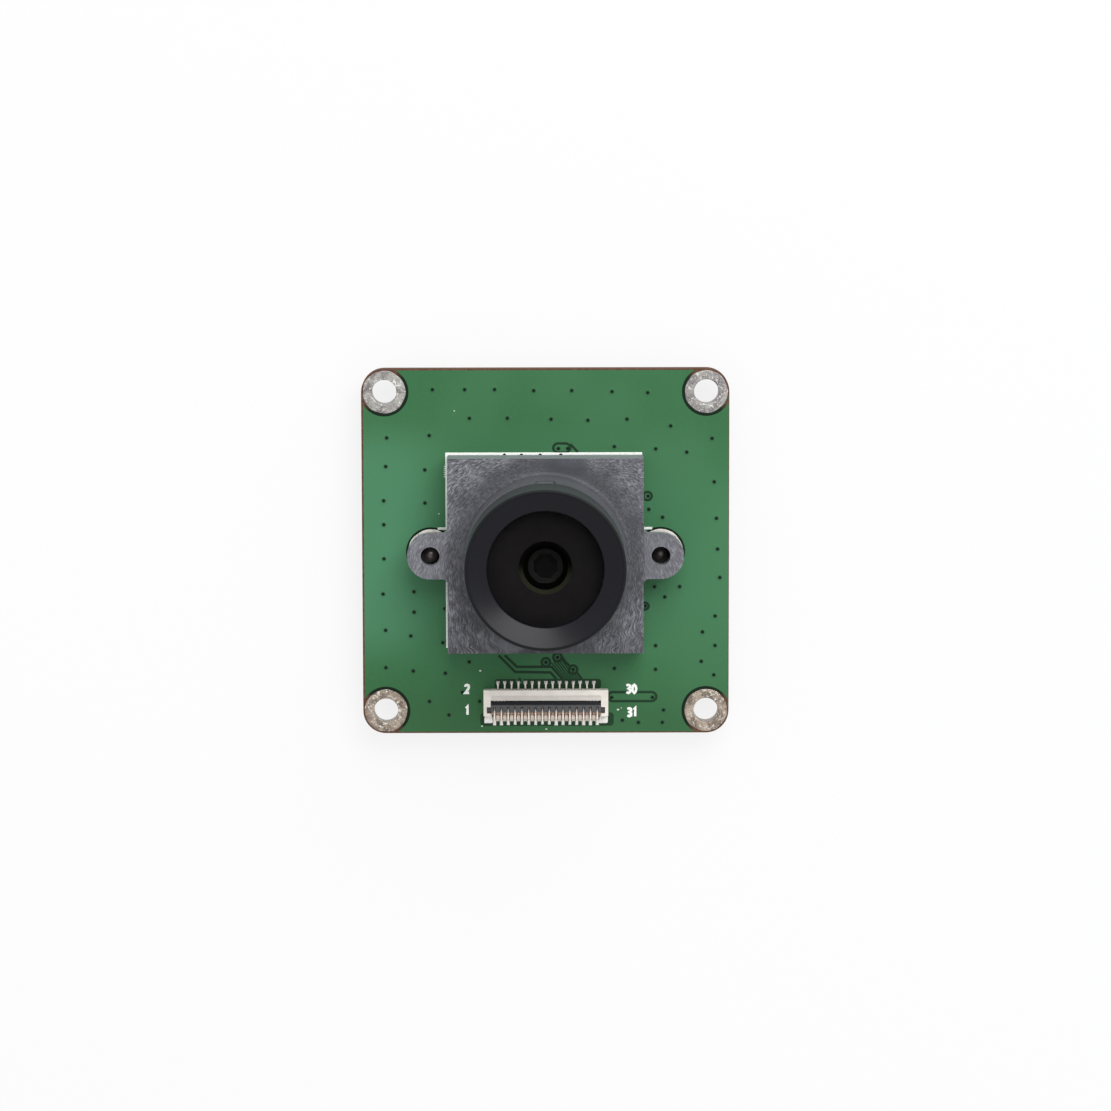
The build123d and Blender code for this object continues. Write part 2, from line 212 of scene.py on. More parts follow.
def noise(tree, vector, scale, detail=2.0, rough=0.5, distort=0.0):
    """A cloudy pattern from 0 to 1; scale is in lumps per millimetre."""
    inputs = {"Vector": vector, "Scale": scale, "Detail": detail}
    inputs.update({"Roughness": rough, "Distortion": distort})
    return add(tree, "ShaderNodeTexNoise", inputs).outputs["Fac"]


def ease(tree, value, low, high, start=0.0, end=1.0):
    """A smooth step from start to end while the value goes from low to high."""
    inputs = {"Value": value, "From Min": low, "From Max": high, "To Min": start, "To Max": end}
    made = add(tree, "ShaderNodeMapRange", inputs, interpolation_type="SMOOTHSTEP")
    return made.outputs["Result"]


def mix(tree, factor, first, second):
    """A blend of two colours."""
    made = add(tree, "ShaderNodeMix", {0: factor, 6: first, 7: second}, data_type="RGBA")
    return made.outputs[2]


def layered(tree, tint, layers):
    """Lays colours over a tint in turn; each fades in to its share as a value goes from low to high."""
    for value, low, high, share, over in layers:
        tint = mix(tree, ease(tree, value, low, high, 0.0, share), tint, colour(*over))
    return tint


def attribute(tree, name):
    """A number painted on the piece's own vertices; zero where it has none."""
    return add(tree, "ShaderNodeAttribute", attribute_name=name).outputs["Fac"]


def relief(tree, height, strength, distance=0.02):
    """Bends the surface's light by a height pattern; distance is in millimetres."""
    inputs = {"Height": height, "Strength": strength, "Distance": distance * MM}
    return add(tree, "ShaderNodeBump", inputs).outputs["Normal"]


def finish(name, base=None, normal=None, **sockets):
    """Makes an empty material, or sets its shader: colour, relief and plain sockets."""
    material = bpy.data.materials.get(name) or bpy.data.materials.new(name)
    material.use_nodes = True
    tree = material.node_tree
    shader = tree.nodes["Principled BSDF"]
    wire(tree, shader.inputs["Base Color"], base)
    wire(tree, shader.inputs["Normal"], normal)
    for key, value in sockets.items():
        wire(tree, shader.inputs[key.replace("_", " ")], value)
    return material, tree


# %% [markdown]
# ## Green lacquer over copper
# The board is glass cloth and resin, copper on both faces, and green lacquer
# on top. Lacquer over copper looks lighter than lacquer over bare laminate, so
# gaps in the copper show as dark green lines. Its green is a little lighter
# across the middle and on the left, and darker towards the connector's edge,
# where that darkening is painted shade below the lens. The lacquer stops short
# of the milled edge, and the cut edge shows the brown laminate. Object
# coordinates tell the faces from the edge, so one material serves the whole
# board. Pieces that lie on it can darken it through a painted number, which
# stands both for bare laminate and for painted shade.

# %% Solder mask and laminate
MASK_MARGIN = 1.9
MASK_SHIFT = 0.05


def edge_reach(tree, x, y):
    """How far a point is past the square of the hole centres, rounded at its corners."""
    past_x, past_y = (
        calc(tree, "MAXIMUM", minus(tree, calc(tree, "ABSOLUTE", part), HOLE_AT), 0.0)
        for part in (x, y)
    )
    return calc(tree, "SQRT", squares(tree, past_x, past_y))


def board_green(tree, spot, x, y):
    """The lacquer's green: a slow cloud and a fine grain, lighter in the middle and at the left, with
    painted shade towards the bottom.
    """
    cloud = noise(tree, spot, 0.09, 2.0)
    grain = noise(tree, spot, 3.2, 3.0)
    green = mix(tree, ease(tree, cloud, 0.35, 0.65), colour(54, 106, 66), colour(62, 113, 75))
    green = layered(tree, green, [
        (grain, 0.3, 0.8, 0.25, (66, 116, 79)),
        (calc(tree, "ABSOLUTE", y), 12.0, 3.0, 0.6, (70, 124, 88)),
        # Painted shade: darker green towards the connector's edge, below the lens.
        (y, -10.0, -15.0, 0.5, (50, 88, 54)),
    ])
    left = times(tree, ease(tree, x, -8.0, -13.0), ease(tree, y, -11.0, -6.0, 0.0, 0.6))
    left = times(tree, left, ease(tree, y, 12.0, 7.0))
    return mix(tree, left, green, colour(78, 134, 100)), grain


def lacquer(name):
    """Solder mask on the faces, laminate on the edge and wherever brown is painted."""
    material, tree = finish(name)
    spot, x, y, z = place(tree)
    green, grain = board_green(tree, spot, x, y)
    # The painted number darkens the green: bare laminate in copper gaps and fields, painted shade in the
    # vias.
    bare = attribute(tree, "bare")
    green = layered(tree, green, [(bare, 0.0, 1.0, 1.0, (30, 62, 40)), (bare, 1.0, 2.0, 1.0, (5, 16, 8))])
    fibres = add(tree, "ShaderNodeVectorMath", {0: spot, 1: (1.6, 1.6, 14.0)}, operation="MULTIPLY")
    cloth = noise(tree, fibres.outputs[0], 1.6, 3.0)
    brown = mix(tree, ease(tree, cloth, 0.3, 0.7), colour(86, 56, 43), colour(104, 78, 64))
    reach = edge_reach(tree, minus(tree, x, MASK_SHIFT), y)
    ragged = plus(tree, reach, times(tree, grain, 0.08))
    margin = ease(tree, ragged, MASK_MARGIN, MASK_MARGIN + 0.05)
    above, below = ease(tree, z, BACK, BACK + 0.02), ease(tree, z, FRONT, FRONT - 0.02)
    inside = times(tree, above, below)
    edge = calc(tree, "MAXIMUM", calc(tree, "MAXIMUM", margin, inside), attribute(tree, "brown"))
    finish(
        name,
        base=mix(tree, edge, green, brown),
        normal=relief(tree, noise(tree, spot, 1.4, 3.0), 0.25, 0.03),
        Roughness=ease(tree, edge, 0.0, 1.0, 0.42, 0.85),
        IOR=1.25,
    )
    return material


MASK = lacquer("solder_mask_green")
print("made", MASK.name)

# %% [markdown]
# ## Tinned lands, printed ink and contact metal
# The lands round the holes are dipped in solder and levelled with hot air,
# which leaves a mottled skin with brighter flecks and small pits. The printed
# numbers are thick white ink. The contacts are plated springs, golden where
# they bend and white with solder at their feet.


# %% Metals and ink
LENS_FEET_FROM = -12.35
EDGE_FEET_FROM = -14.62


def tinned(name, metal, lift):
    """Solder skin: grey metal, mottled in broad patches, with bright flecks and pits; lift paints it
    paler, as a painted highlight.
    """
    material, tree = finish(name)
    spot, _, y, _ = place(tree)
    patches = noise(tree, spot, 1.1, 4.0, 0.6, 0.6)
    flecks = noise(tree, spot, 3.4, 3.0, 0.6, 1.2)
    cool = mix(tree, ease(tree, patches, 0.38, 0.62), colour(132, 126, 128), colour(172, 170, 164))
    warm = mix(tree, ease(tree, patches, 0.38, 0.62), colour(124, 110, 98), colour(176, 162, 146))
    skin = mix(tree, ease(tree, y, 6.0, -6.0), cool, warm)
    # Painted highlight: lift turns the skin towards near white.
    skin = mix(tree, lift, skin, colour(244, 240, 232))
    skin = layered(tree, skin, [
        (flecks, 0.56, 0.66, 0.85, (246, 244, 238)),
        (flecks, 0.4, 0.3, 0.75, (84, 80, 78)),
    ])
    finish(
        name,
        base=skin,
        normal=relief(tree, plus(tree, patches, flecks), 0.6, 0.05),
        Metallic=metal,
        Roughness=ease(tree, patches, 0.3, 0.7, 0.3, 0.5),
    )
    return material


def printed_ink(name):
    """White ink, a little uneven where it was pressed through the screen."""
    material, tree = finish(name)
    spot = place(tree)[0]
    thin = noise(tree, spot, 5.0, 3.0)
    ink = mix(tree, ease(tree, thin, 0.3, 0.6), colour(232, 238, 230), colour(250, 252, 248))
    finish(name, base=ink, normal=relief(tree, thin, 0.4, 0.02), Roughness=0.7)
    return material


def spring_metal(name, low, high, bright, metal):
    """Plated spring strip: one tint near the board, another above it and on the soldered feet."""
    material, tree = finish(name)
    spot, _, y, z = place(tree)
    drawn = noise(tree, spot, 8.0, 2.0)
    height = plus(tree, z, times(tree, drawn, 0.1))
    tint = mix(tree, ease(tree, height, FRONT + 0.1, FRONT + 0.75), low, high)
    lens_feet = ease(tree, y, LENS_FEET_FROM, LENS_FEET_FROM + 0.15)
    edge_feet = ease(tree, y, EDGE_FEET_FROM, EDGE_FEET_FROM - 0.16)
    tint = mix(tree, calc(tree, "MAXIMUM", lens_feet, edge_feet), tint, high)
    tint = mix(tree, ease(tree, drawn, 0.55, 0.75, 0.0, 0.6), tint, bright)
    finish(name, base=tint, normal=relief(tree, drawn, 0.2, 0.01), Metallic=metal, Roughness=0.35)
    return material


TINNED = tinned("tinned_copper", 0.5, 0.0)
# The ear lands under the holder's ears get a painted highlight.
TIN_PAINTED_BRIGHT = tinned("tin_painted_bright", 0.25, 0.6)
INK = printed_ink("white_ink")
gold, pale_tin, bright_tin = colour(214, 160, 124), colour(246, 240, 230), colour(252, 250, 246)
CONTACTS = spring_metal("contact_plating", gold, pale_tin, bright_tin, 0.35)
grey_tin, white_tin, shine = colour(232, 228, 222), colour(246, 244, 240), colour(254, 253, 250)
SOLDER = spring_metal("solder_joint", grey_tin, white_tin, shine, 0.15)
print("metals:", TINNED.name, CONTACTS.name, SOLDER.name)

# %% [markdown]
# ## Glass-filled plastic that shows how it flowed
# The holder is black plastic with short glass fibres. They lie on the surface
# as pale streaks, and they point the way the melt ran when the mould filled.
# It came in at a gate near the upper edge and ran round the core of the bore,
# as water from a spring runs round a pillar. That flow has a known formula:
# one number stays the same along each stream line and another grows along it.
# Noise that is drawn out along the second number gives fibres. Painted shade
# darkens the plate round the tower and towards the lower edge, and painted
# light makes the ears and the side walls paler than the top. The plate is also
# a little darker towards the right and by the gate, and a pale spot stands near
# the lower edge.

# %% Holder plastic
CORE_R = 5.2
GATE = (1.6, 7.9)
DRIFT = 0.07
PALE_SPOT = (-3.0, -7.6)


def flow_lines(tree, x, y):
    """Ideal flow from the gate round a round core, as a sum over gate, mirror point and core centre.

    Across is the sum of the angles seen from the first two less the angle seen from the third.
    Along is the same sum with the logarithms of the distances. To both is added a slow even
    stream past the core, x (1 - a^2/r^2) and y (1 + a^2/r^2), which fills the far corners.
    """
    gate = np.array(GATE)
    mirror = gate * CORE_R ** 2 / np.sum(gate ** 2)
    turn = np.arctan2(GATE[0], GATE[1])
    cos, sin = np.cos(turn), np.sin(turn)
    across, along = 0.0, 0.0
    for (px, py), sign in ((gate, 1.0), (mirror, 1.0), ((0.0, 0.0), -1.0)):
        dx, dy = minus(tree, x, float(px)), minus(tree, y, float(py))
        side = minus(tree, times(tree, dx, cos), times(tree, dy, sin))
        ahead = plus(tree, times(tree, dx, sin), times(tree, dy, cos))
        angle = calc(tree, "ARCTAN2", side, times(tree, ahead, -1.0))
        square = plus(tree, squares(tree, dx, dy), 0.01)
        log = times(tree, calc(tree, "LOGARITHM", square, np.e), 0.5)
        across = plus(tree, across, times(tree, angle, sign))
        along = plus(tree, along, times(tree, log, sign))
    square = squares(tree, x, y)
    share = calc(tree, "DIVIDE", CORE_R ** 2, calc(tree, "MAXIMUM", square, 1.0))
    past_x = times(tree, x, minus(tree, 1.0, share))
    past_y = times(tree, y, plus(tree, 1.0, share))
    across = plus(tree, across, times(tree, past_x, DRIFT))
    along = minus(tree, along, times(tree, past_y, DRIFT))
    return across, along, calc(tree, "SQRT", square)


def streaks(tree, across, along, z, count, drawn):
    """Noise drawn out along the stream lines: count lumps per unit across, drawn times longer."""
    parts = {
        0: times(tree, across, count),
        1: times(tree, along, count / drawn),
        2: times(tree, z, 4.0),
    }
    return noise(tree, add(tree, "ShaderNodeCombineXYZ", parts).outputs[0], 1.0, 2.0, 0.55)


def fibre_grey(tree, bands, fibres, hairs, specks):
    """The plastic's grey with pale and dark fibres; they lie thicker in the pale bands."""
    thick = ease(tree, bands, 0.35, 0.65, 0.25, 0.8)
    pale = times(tree, thick, ease(tree, fibres, 0.5, 0.7))
    dark = times(tree, thick, ease(tree, fibres, 0.5, 0.32))
    grey = mix(tree, ease(tree, bands, 0.3, 0.7), colour(82, 83, 89), colour(104, 104, 111))
    grey = mix(tree, pale, grey, colour(130, 130, 138))
    grey = mix(tree, dark, grey, colour(58, 59, 65))
    return layered(tree, grey, [
        (hairs, 0.52, 0.63, 0.85, (156, 156, 165)),
        (hairs, 0.47, 0.35, 0.75, (46, 47, 53)),
        (specks, 0.62, 0.72, 0.6, (160, 160, 168)),
    ])


def holder_shading(tree, grey, bands, reach, x, y, z):
    """The grey by place: painted shade round the tower and below, darker to the right and by the gate, a
    pale spot, painted light on ears and side walls.
    """
    ragged = plus(tree, reach, times(tree, minus(tree, bands, 0.5), 4.0))
    pale_spot_x = times(tree, minus(tree, x, PALE_SPOT[0]), 0.75)
    pale_spot = squares(tree, pale_spot_x, minus(tree, y, PALE_SPOT[1]))
    gate = squares(tree, minus(tree, x, GATE[0]), minus(tree, y, GATE[1]))
    # Painted shade round the tower and towards the bottom; painted light on the ears and the side walls.
    return layered(tree, grey, [
        (ragged, 10.2, 7.8, 0.7, (52, 53, 58)),
        (y, -4.0, -8.5, 0.4, (54, 55, 60)),
        (x, 2.0, 7.0, 0.14, (54, 55, 60)),
        (calc(tree, "ABSOLUTE", x), 8.3, 8.9, 0.4, (120, 120, 127)),
        (pale_spot, 1.3, 0.3, 0.5, (118, 120, 128)),
        (gate, 6.0, 0.3, 0.5, (46, 48, 60)),
        (z, PLATE_TOP + 0.05, PLATE_TOP + 0.5, 0.6, (84, 85, 90)),
        (z, PLATE_TOP - 0.02, PLATE_TOP - 0.1, 0.85, (132, 138, 140)),
    ])


def filled_plastic(name):
    """Dark plastic with glass fibres that follow the melt, shaded by its place on the holder."""
    material, tree = finish(name)
    spot, x, y, z = place(tree)
    across, along, reach = flow_lines(tree, x, y)
    wander = noise(tree, spot, 0.9, 2.0)
    across = plus(tree, across, times(tree, wander, 0.16))
    bands = noise(tree, spot, 0.5, 4.0, 0.65)
    fibres = streaks(tree, across, along, z, 26.0, 6.0)
    hairs = streaks(tree, across, along, z, 80.0, 7.0)
    specks = noise(tree, spot, 6.0, 2.0, 0.6)
    grey = fibre_grey(tree, bands, fibres, hairs, specks)
    grey = holder_shading(tree, grey, bands, reach, x, y, z)
    finish(
        name,
        base=grey,
        normal=relief(tree, plus(tree, fibres, hairs), 0.25, 0.03),
        Roughness=0.55,
    )
    return material


HOLDER = filled_plastic("glass_filled_plastic")
print("made", HOLDER.name)

# %% [markdown]
# ## The other finishes
# Everything else is a plain moulding, a turned black part, a chip or a piece
# of glass. One recipe covers the plain ones: a base colour with two close
# shades in a fine cloud, and a little relief. The lens blacks reflect less
# than common plastic because they are made matt to swallow stray light. Glass
# that bends light would need thousands of samples to light the parts inside a
# lens, so the glass here is partly see-through instead. The front glass is
# coated and shows no reflection from above. It only darkens what lies below,
# because a faint shine over so dark a field would render as grain.


# %% Plain finishes
def plain(name, dark, light, scale=4.0, bump=0.2, **sockets):
    """Two close shades in a fine cloud, with relief from the same cloud."""
    material, tree = finish(name)
    cloud = noise(tree, place(tree)[0], scale, 4.0, 0.6)
    shade = mix(tree, ease(tree, cloud, 0.3, 0.7), dark, light)
    finish(name, base=shade, normal=relief(tree, cloud, bump, 0.02), **sockets)
    return material


ROOF_STEP = low_high("connector_housing", Y)[1] - 0.47
CONTACTS_FROM = -13.8
ROW_HALF = 4.8
LOCK_SHADE_EDGE = -13.42


def ivory(name):
    """Ivory plastic with painted shade past the roof's step, and a painted copper reflection between the
    contacts.
    """
    material, tree = finish(name)
    spot, x, y, _ = place(tree)
    cloud = noise(tree, spot, 1.2, 4.0, 0.6)
    glow = noise(tree, spot, 6.0, 2.0)
    tint = mix(tree, ease(tree, cloud, 0.3, 0.7), colour(228, 221, 212), colour(240, 235, 227))
    from_middle = calc(tree, "ABSOLUTE", x)
    # Painted shade in the roof's shallow recess past the step.
    past_step = ease(tree, y, ROOF_STEP + 0.02, ROOF_STEP - 0.02)
    step = times(tree, past_step, ease(tree, from_middle, ROW_HALF, ROW_HALF - 0.1, 0.0, 0.6))
    tint = mix(tree, step, tint, colour(196, 191, 186))
    # Painted reflection: the contacts' copper glints laid on the ivory between them.
    warm = mix(tree, ease(tree, glow, 0.4, 0.6), colour(222, 176, 144), colour(240, 226, 208))
    along_row = ease(tree, from_middle, ROW_HALF + 0.15, ROW_HALF)
    between = times(tree, ease(tree, y, CONTACTS_FROM, CONTACTS_FROM - 0.1), along_row)
    tint = mix(tree, between, tint, warm)
    finish(name, base=tint, normal=relief(tree, cloud, 0.2, 0.02), Roughness=0.5)
    return material


def two_tone(name, axis, low, high, first, second, **sockets):
    """A plain finish that turns from a first colour into a second along one axis, in mm."""
    material, tree = finish(name)
    spot, *parts = place(tree)
    cloud = noise(tree, spot, 2.0, 3.0)
    level = plus(tree, parts[axis], times(tree, cloud, 0.06))
    tint = mix(tree, ease(tree, level, low, high), first, second)
    finish(name, base=tint, normal=relief(tree, cloud, 0.2, 0.02), **sockets)
    return material


def glass(name, tint, alpha, **sockets):
    """Polished glass that lets light and shadow through: a thin dark tint with a sharp shine."""
    return finish(name, base=tint, Alpha=alpha, Roughness=0.1, **sockets)[0]


matt = {"Specular_IOR_Level": 0.0}
# The barrel's black turns darker just below the rim: painted shade along its outer edge.
satin_wall, rim_painted_shade = colour(58, 61, 64), colour(18, 20, 22)
BARREL = two_tone("barrel_black", Z, RIM - 0.3, RIM - 0.1, satin_wall, rim_painted_shade, Roughness=0.5, IOR=1.35)
CONE = plain("ring_matt_black", colour(9, 9, 18), colour(13, 13, 22), 3.0, 0.1, Roughness=0.32, IOR=1.34)
INNER = plain("inner_black", colour(48, 46, 48), colour(52, 50, 51), 0.5, Roughness=0.7, **matt)
WELL = plain("well_black", colour(12, 12, 10), colour(16, 16, 14), 2.0, Roughness=0.8, **matt)
LEAVES = plain("leaves_black", colour(44, 46, 44), colour(49, 51, 49), 2.0, Roughness=0.6, IOR=1.15)
STEEL = plain("screw_zinc", colour(86, 78, 78), colour(112, 104, 102), 3.0, Metallic=0.9, Roughness=0.3)
PACKAGE = plain("package_black", colour(30, 31, 33), colour(40, 41, 43), 6.0, Roughness=0.6)
CERAMIC = plain("pale_ceramic", colour(206, 200, 188), colour(220, 215, 205), 3.0, Roughness=0.6)
CAN = plain("lid_metal", colour(178, 176, 172), colour(200, 198, 194), 2.0, Metallic=0.9, Roughness=0.28)
CAPACITOR = plain("capacitor_tan", colour(150, 112, 84), colour(170, 132, 100), 5.0, Roughness=0.55)
RESISTOR = plain("resistor_black", colour(26, 27, 30), colour(36, 37, 40), 5.0, Roughness=0.4)
SILICON = plain("silicon_die", colour(60, 52, 72), colour(70, 66, 88), 1.0, Metallic=0.6, Roughness=0.2)
IVORY = ivory("ivory_moulding")
# The lock is grey, with painted shade in the band along its free edge by the housing.
lock_grey, lock_painted_shade = colour(88, 89, 92), colour(24, 25, 29)
shade_edge = (LOCK_SHADE_EDGE, LOCK_SHADE_EDGE + 0.12)
LOCK = two_tone("lock_moulding", Y, *shade_edge, lock_grey, lock_painted_shade, Roughness=0.55, IOR=1.3)
# The eye's chamfer: its green-brown coating shows on the lit lower side, and the upper side is painted
# dark as painted shade.
OLIVE = two_tone("eye_edge", Y, -0.9, 0.5, colour(67, 69, 54), colour(22, 22, 21), **matt)
LENS_GLASS = glass("coated_lens_glass", colour(0, 0, 0), 0.25, IOR=1.2, **matt)
DEEP_GLASS = glass("deep_lens_glass", colour(35, 36, 35), 0.94, IOR=1.2, Specular_IOR_Level=0.1)
CLEAR_GLASS = glass("cover_glass", colour(120, 130, 128), 0.2, IOR=1.45)
FILTER_GLASS = glass("filter_glass", colour(90, 140, 170), 0.5, IOR=1.45)
print("finishes:", len(bpy.data.materials))

# %% [markdown]
# ## Dress the CAD pieces that stay
# A CAD node keeps its mesh and only gets a better material. The first words of
# a node's name say what it is, so a short table is enough.

# %% Materials for the CAD nodes
NODE_FINISH = {
    "board": MASK,
    "lens_holder": HOLDER,
    "ir_filter": FILTER_GLASS,
    "sensor_package": CERAMIC,
    "sensor_die": SILICON,
    "sensor_cover": CLEAR_GLASS,
    "lens_": INNER,
    "connector_housing": IVORY,
    "connector_actuator": LOCK,
    "connector_tab": SOLDER,
    "contacts": CONTACTS,
    "oscillator_base": CERAMIC,
    "oscillator_lid": CAN,
    "capacitor": CAPACITOR,
    "resistor": RESISTOR,
    "holder_screw": STEEL,
    "regulator_1_body": PACKAGE,
    "regulator_2_body": PACKAGE,
    "regulator": TINNED,
}


def dress(name, node):
    """Gives a CAD node the finish whose key its name starts with."""
    key = next(key for key in NODE_FINISH if name.startswith(key))
    for slot in node.material_slots:
        slot.material = NODE_FINISH[key]
    return key


used = {dress(name, node) for name, node in NODES.items()}
print("finishes on CAD nodes:", len(used))

# %% [markdown]
# ## Surfaces from a grid of points
# Every new piece is a grid: points in rows and columns, worked out for the
# whole array at once, with neighbours joined by square faces. A closed
# outline wraps the rows and a full turn wraps the columns. The same function
# takes many copies of a grid, so a row of solder joints is one mesh.


# %% Grid to mesh
def surface(name, points, wrap_rows=False, wrap_columns=False, **painted):
    """A mesh from copies x rows x columns x 3 points in mm; painted numbers go on its vertices."""
    points = np.asarray(points, dtype=float)
    points = points[None] if points.ndim == 3 else points
    copies, rows, columns = points.shape[:3]
    index = np.arange(rows * columns).reshape(rows, columns)
    index = np.vstack([index, index[:1]]) if wrap_rows else index
    index = np.hstack([index, index[:, :1]]) if wrap_columns else index
    corners = (index[:-1, :-1], index[:-1, 1:], index[1:, 1:], index[1:, :-1])
    cells = np.stack(corners, axis=-1).reshape(-1, 4)
    offsets = np.arange(copies)[:, None, None] * rows * columns
    faces = (cells[None] + offsets).reshape(-1, 4)
    mesh = bpy.data.meshes.new(name)
    mesh.from_pydata((points.reshape(-1, 3) * MM).tolist(), [], faces.tolist())
    for key, values in painted.items():
        layer = mesh.attributes.new(key, "FLOAT", "POINT")
        values = np.broadcast_to(values, points.shape[:3]).astype(np.float32)
        layer.data.foreach_set("value", values.ravel())
    return mesh


def weld(mesh):
    """Closes poles and seams, and turns every closed shell's faces outwards."""
    work = bmesh.new()
    work.from_mesh(mesh)
    bmesh.ops.remove_doubles(work, verts=work.verts, dist=1e-7)
    bmesh.ops.recalc_face_normals(work, faces=work.faces)
    work.to_mesh(mesh)
    work.free()


def piece(name, mesh, material, replaces=(), crease=35):
    """Welds a mesh, shades it smooth up to an angle, and puts it on the module as one piece."""
    weld(mesh)
    mesh.shade_smooth()
    mesh.set_sharp_from_angle(angle=np.radians(crease))
    made = put(name, mesh)
    mesh.materials.append(material)
    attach(made, "module")
    if replaces:
        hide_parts(*replaces)
    print(f"{name}: {len(mesh.polygons)} faces")
    return made


def eased(corners, steps=5):
    """A closed outline of (r, z, ease): each corner becomes a Bezier bend `ease` long on both sides."""
    corners = np.asarray(corners, dtype=float)
    here, reach = corners[:, :2], corners[:, 2:]
    before, after = np.roll(here, 1, axis=0) - here, np.roll(here, -1, axis=0) - here
    start = here + before / np.linalg.norm(before, axis=1, keepdims=True) * reach
    end = here + after / np.linalg.norm(after, axis=1, keepdims=True) * reach
    t = np.linspace(0, 1, steps)[None, :, None]
    bend = (1 - t) ** 2 * start[:, None] + 2 * t * (1 - t) * here[:, None] + t ** 2 * end[:, None]
    return bend.reshape(-1, 2)


def turned(outline, steps=96, start=0.0):
    """A lathe grid: each outline point (r, z) is carried round the upright axis."""
    angle = start + np.linspace(0, 2 * np.pi, steps, endpoint=False)
    r, z = np.asarray(outline)[:, 0, None], np.asarray(outline)[:, 1, None]
    return np.stack([r * np.cos(angle), r * np.sin(angle), z + 0 * angle], axis=-1)


def lathe(name, outline, material, replaces=(), steps=96, closed=True):
    """One turned piece of the lens; an outline that isn't closed starts and ends on the axis."""
    mesh = surface(name, turned(outline, steps), closed, True)
    return piece(name, mesh, material, replaces)


# %% [markdown]
# ## The lens barrel
# The barrel is turned from aluminium and blackened. It is one closed outline
# carried round the optical axis: a threaded tail, a wide head, a rounded rim,
# and a bored inside with ledges for the glass. The thread is cut as rings half
# a millimetre apart, which look the same as the real helix at this size.

# %% Barrel
HEAD_FOOT = 9.3
THREAD_R = 5.95
THREAD_DEEP = 0.26
THREAD_PITCH = 0.5
RING_R = 6.475
LIP_R = 6.63
GLASS_FOOT = 12.6
STACK_R = 2.7
STACK_FOOT = 7.85
TAIL_R = 2.1


def thread_rings(low, high):
    """Outline points up a thread: crest and root in turn, half a pitch apart."""
    count = int((high - low) / THREAD_PITCH)
    z = low + np.arange(2 * count) * THREAD_PITCH / 2
    r = THREAD_R - THREAD_DEEP * (np.arange(2 * count) % 2)
    return np.stack([r, z, np.full_like(z, 0.05)], axis=-1)


barrel_outline = np.vstack([
    [(TAIL_R, BARREL_FOOT, 0.1)],
    thread_rings(BARREL_FOOT + 0.15, HEAD_FOOT - 0.4),
    [
        (THREAD_R - 0.5, HEAD_FOOT - 0.35, 0.05),
        (THREAD_R - 0.5, HEAD_FOOT, 0.08),
        (HEAD_R, HEAD_FOOT, 0.12),
        (HEAD_R, RIM, 0.16),
        (LIP_R, RIM, 0.02),
        (LIP_R, RIM - 0.34, 0.02),
        (RING_R, RIM - 0.5, 0.02),
        (RING_R, GLASS_FOOT, 0.05),
        (STACK_R, GLASS_FOOT, 0.05),
        (STACK_R, STACK_FOOT, 0.05),
        (TAIL_R, STACK_FOOT, 0.05),
    ],
])
lathe("barrel", eased(barrel_outline), BARREL, ["lens_barrel"], 160)

# %% [markdown]
# ## The coned ring and the glass
# A matt ring falls from the rim to the glass and holds it down. Its cone faces
# inwards, so the part next to the lamp looks away from it and stays dark, and
# the part across the lens is bright. That gives the strong gradient in the
# photograph. The front glass is a low dome over a hollow back, and the dark
# parts below are seen through it.

# %% Ring and front glass
VIEW_R = 4.95
GLASS_TOP = 13.7
DOME_HIGH = 0.75
HOLLOW_R = 2.1
HOLLOW_DEEP = 0.45

ring_outline = eased([
    (RING_R - 0.02, GLASS_TOP, 0.05),
    (RING_R - 0.02, RIM - 0.48, 0.02),
    (LIP_R - 0.01, RIM - 0.32, 0.02),
    (LIP_R - 0.01, RIM - 0.01, 0.03),
    (VIEW_R + 0.03, GLASS_TOP + 0.1, 0.08),
    (VIEW_R, GLASS_TOP, 0.03),
])
lathe("front_ring", ring_outline, CONE, ["lens_front_ring"], 160)


def dome_line(radius, foot, high, count=20):
    """Outline points of a ball's cap, from its axis out: z = top - R + sqrt(R^2 - r^2)."""
    ball = (radius ** 2 + high ** 2) / (2 * abs(high))
    r = radius * np.sin(np.linspace(0, np.pi / 2, count))
    sag = ball - np.sqrt(ball ** 2 - r ** 2)
    return np.stack([r, foot + high - np.sign(high) * sag], axis=-1)


SEAT = 0.03
front_outline = np.vstack([
    dome_line(VIEW_R, GLASS_TOP - SEAT, DOME_HIGH),
    [(RING_R - SEAT, GLASS_TOP - SEAT), (RING_R - SEAT, GLASS_FOOT + SEAT)],
    dome_line(HOLLOW_R, GLASS_FOOT + SEAT, HOLLOW_DEEP)[::-1],
])
lathe("front_glass", front_outline, LENS_GLASS, ["lens_front_element"], 128, False)

# %% [markdown]
# ## The eye behind the glass
# The dark field is a matt coat on the barrel's ledge. In its middle a baffle
# has a chamfered edge with a green-brown coating. That colour is painted on
# the chamfer's lower side as its lit side, and the upper side is painted dark
# as painted shade. At the bottom of the well lies an iris with eight sides,
# and a second glass and a plate with the aperture close the view.

# %% Baffle, second glass and stop
EYE_RIM_R = 2.28
EYE_R = 1.86
EYE_FLOOR_R = 1.5
LEAVES_R = 1.1
BAFFLE_FOOT = 11.35
SECOND_FOOT = 10.25
STOP_FOOT = 10.05
SECOND_HOLLOW = 0.35
STOP_R = 0.4
INNER_R = STACK_R - 0.02

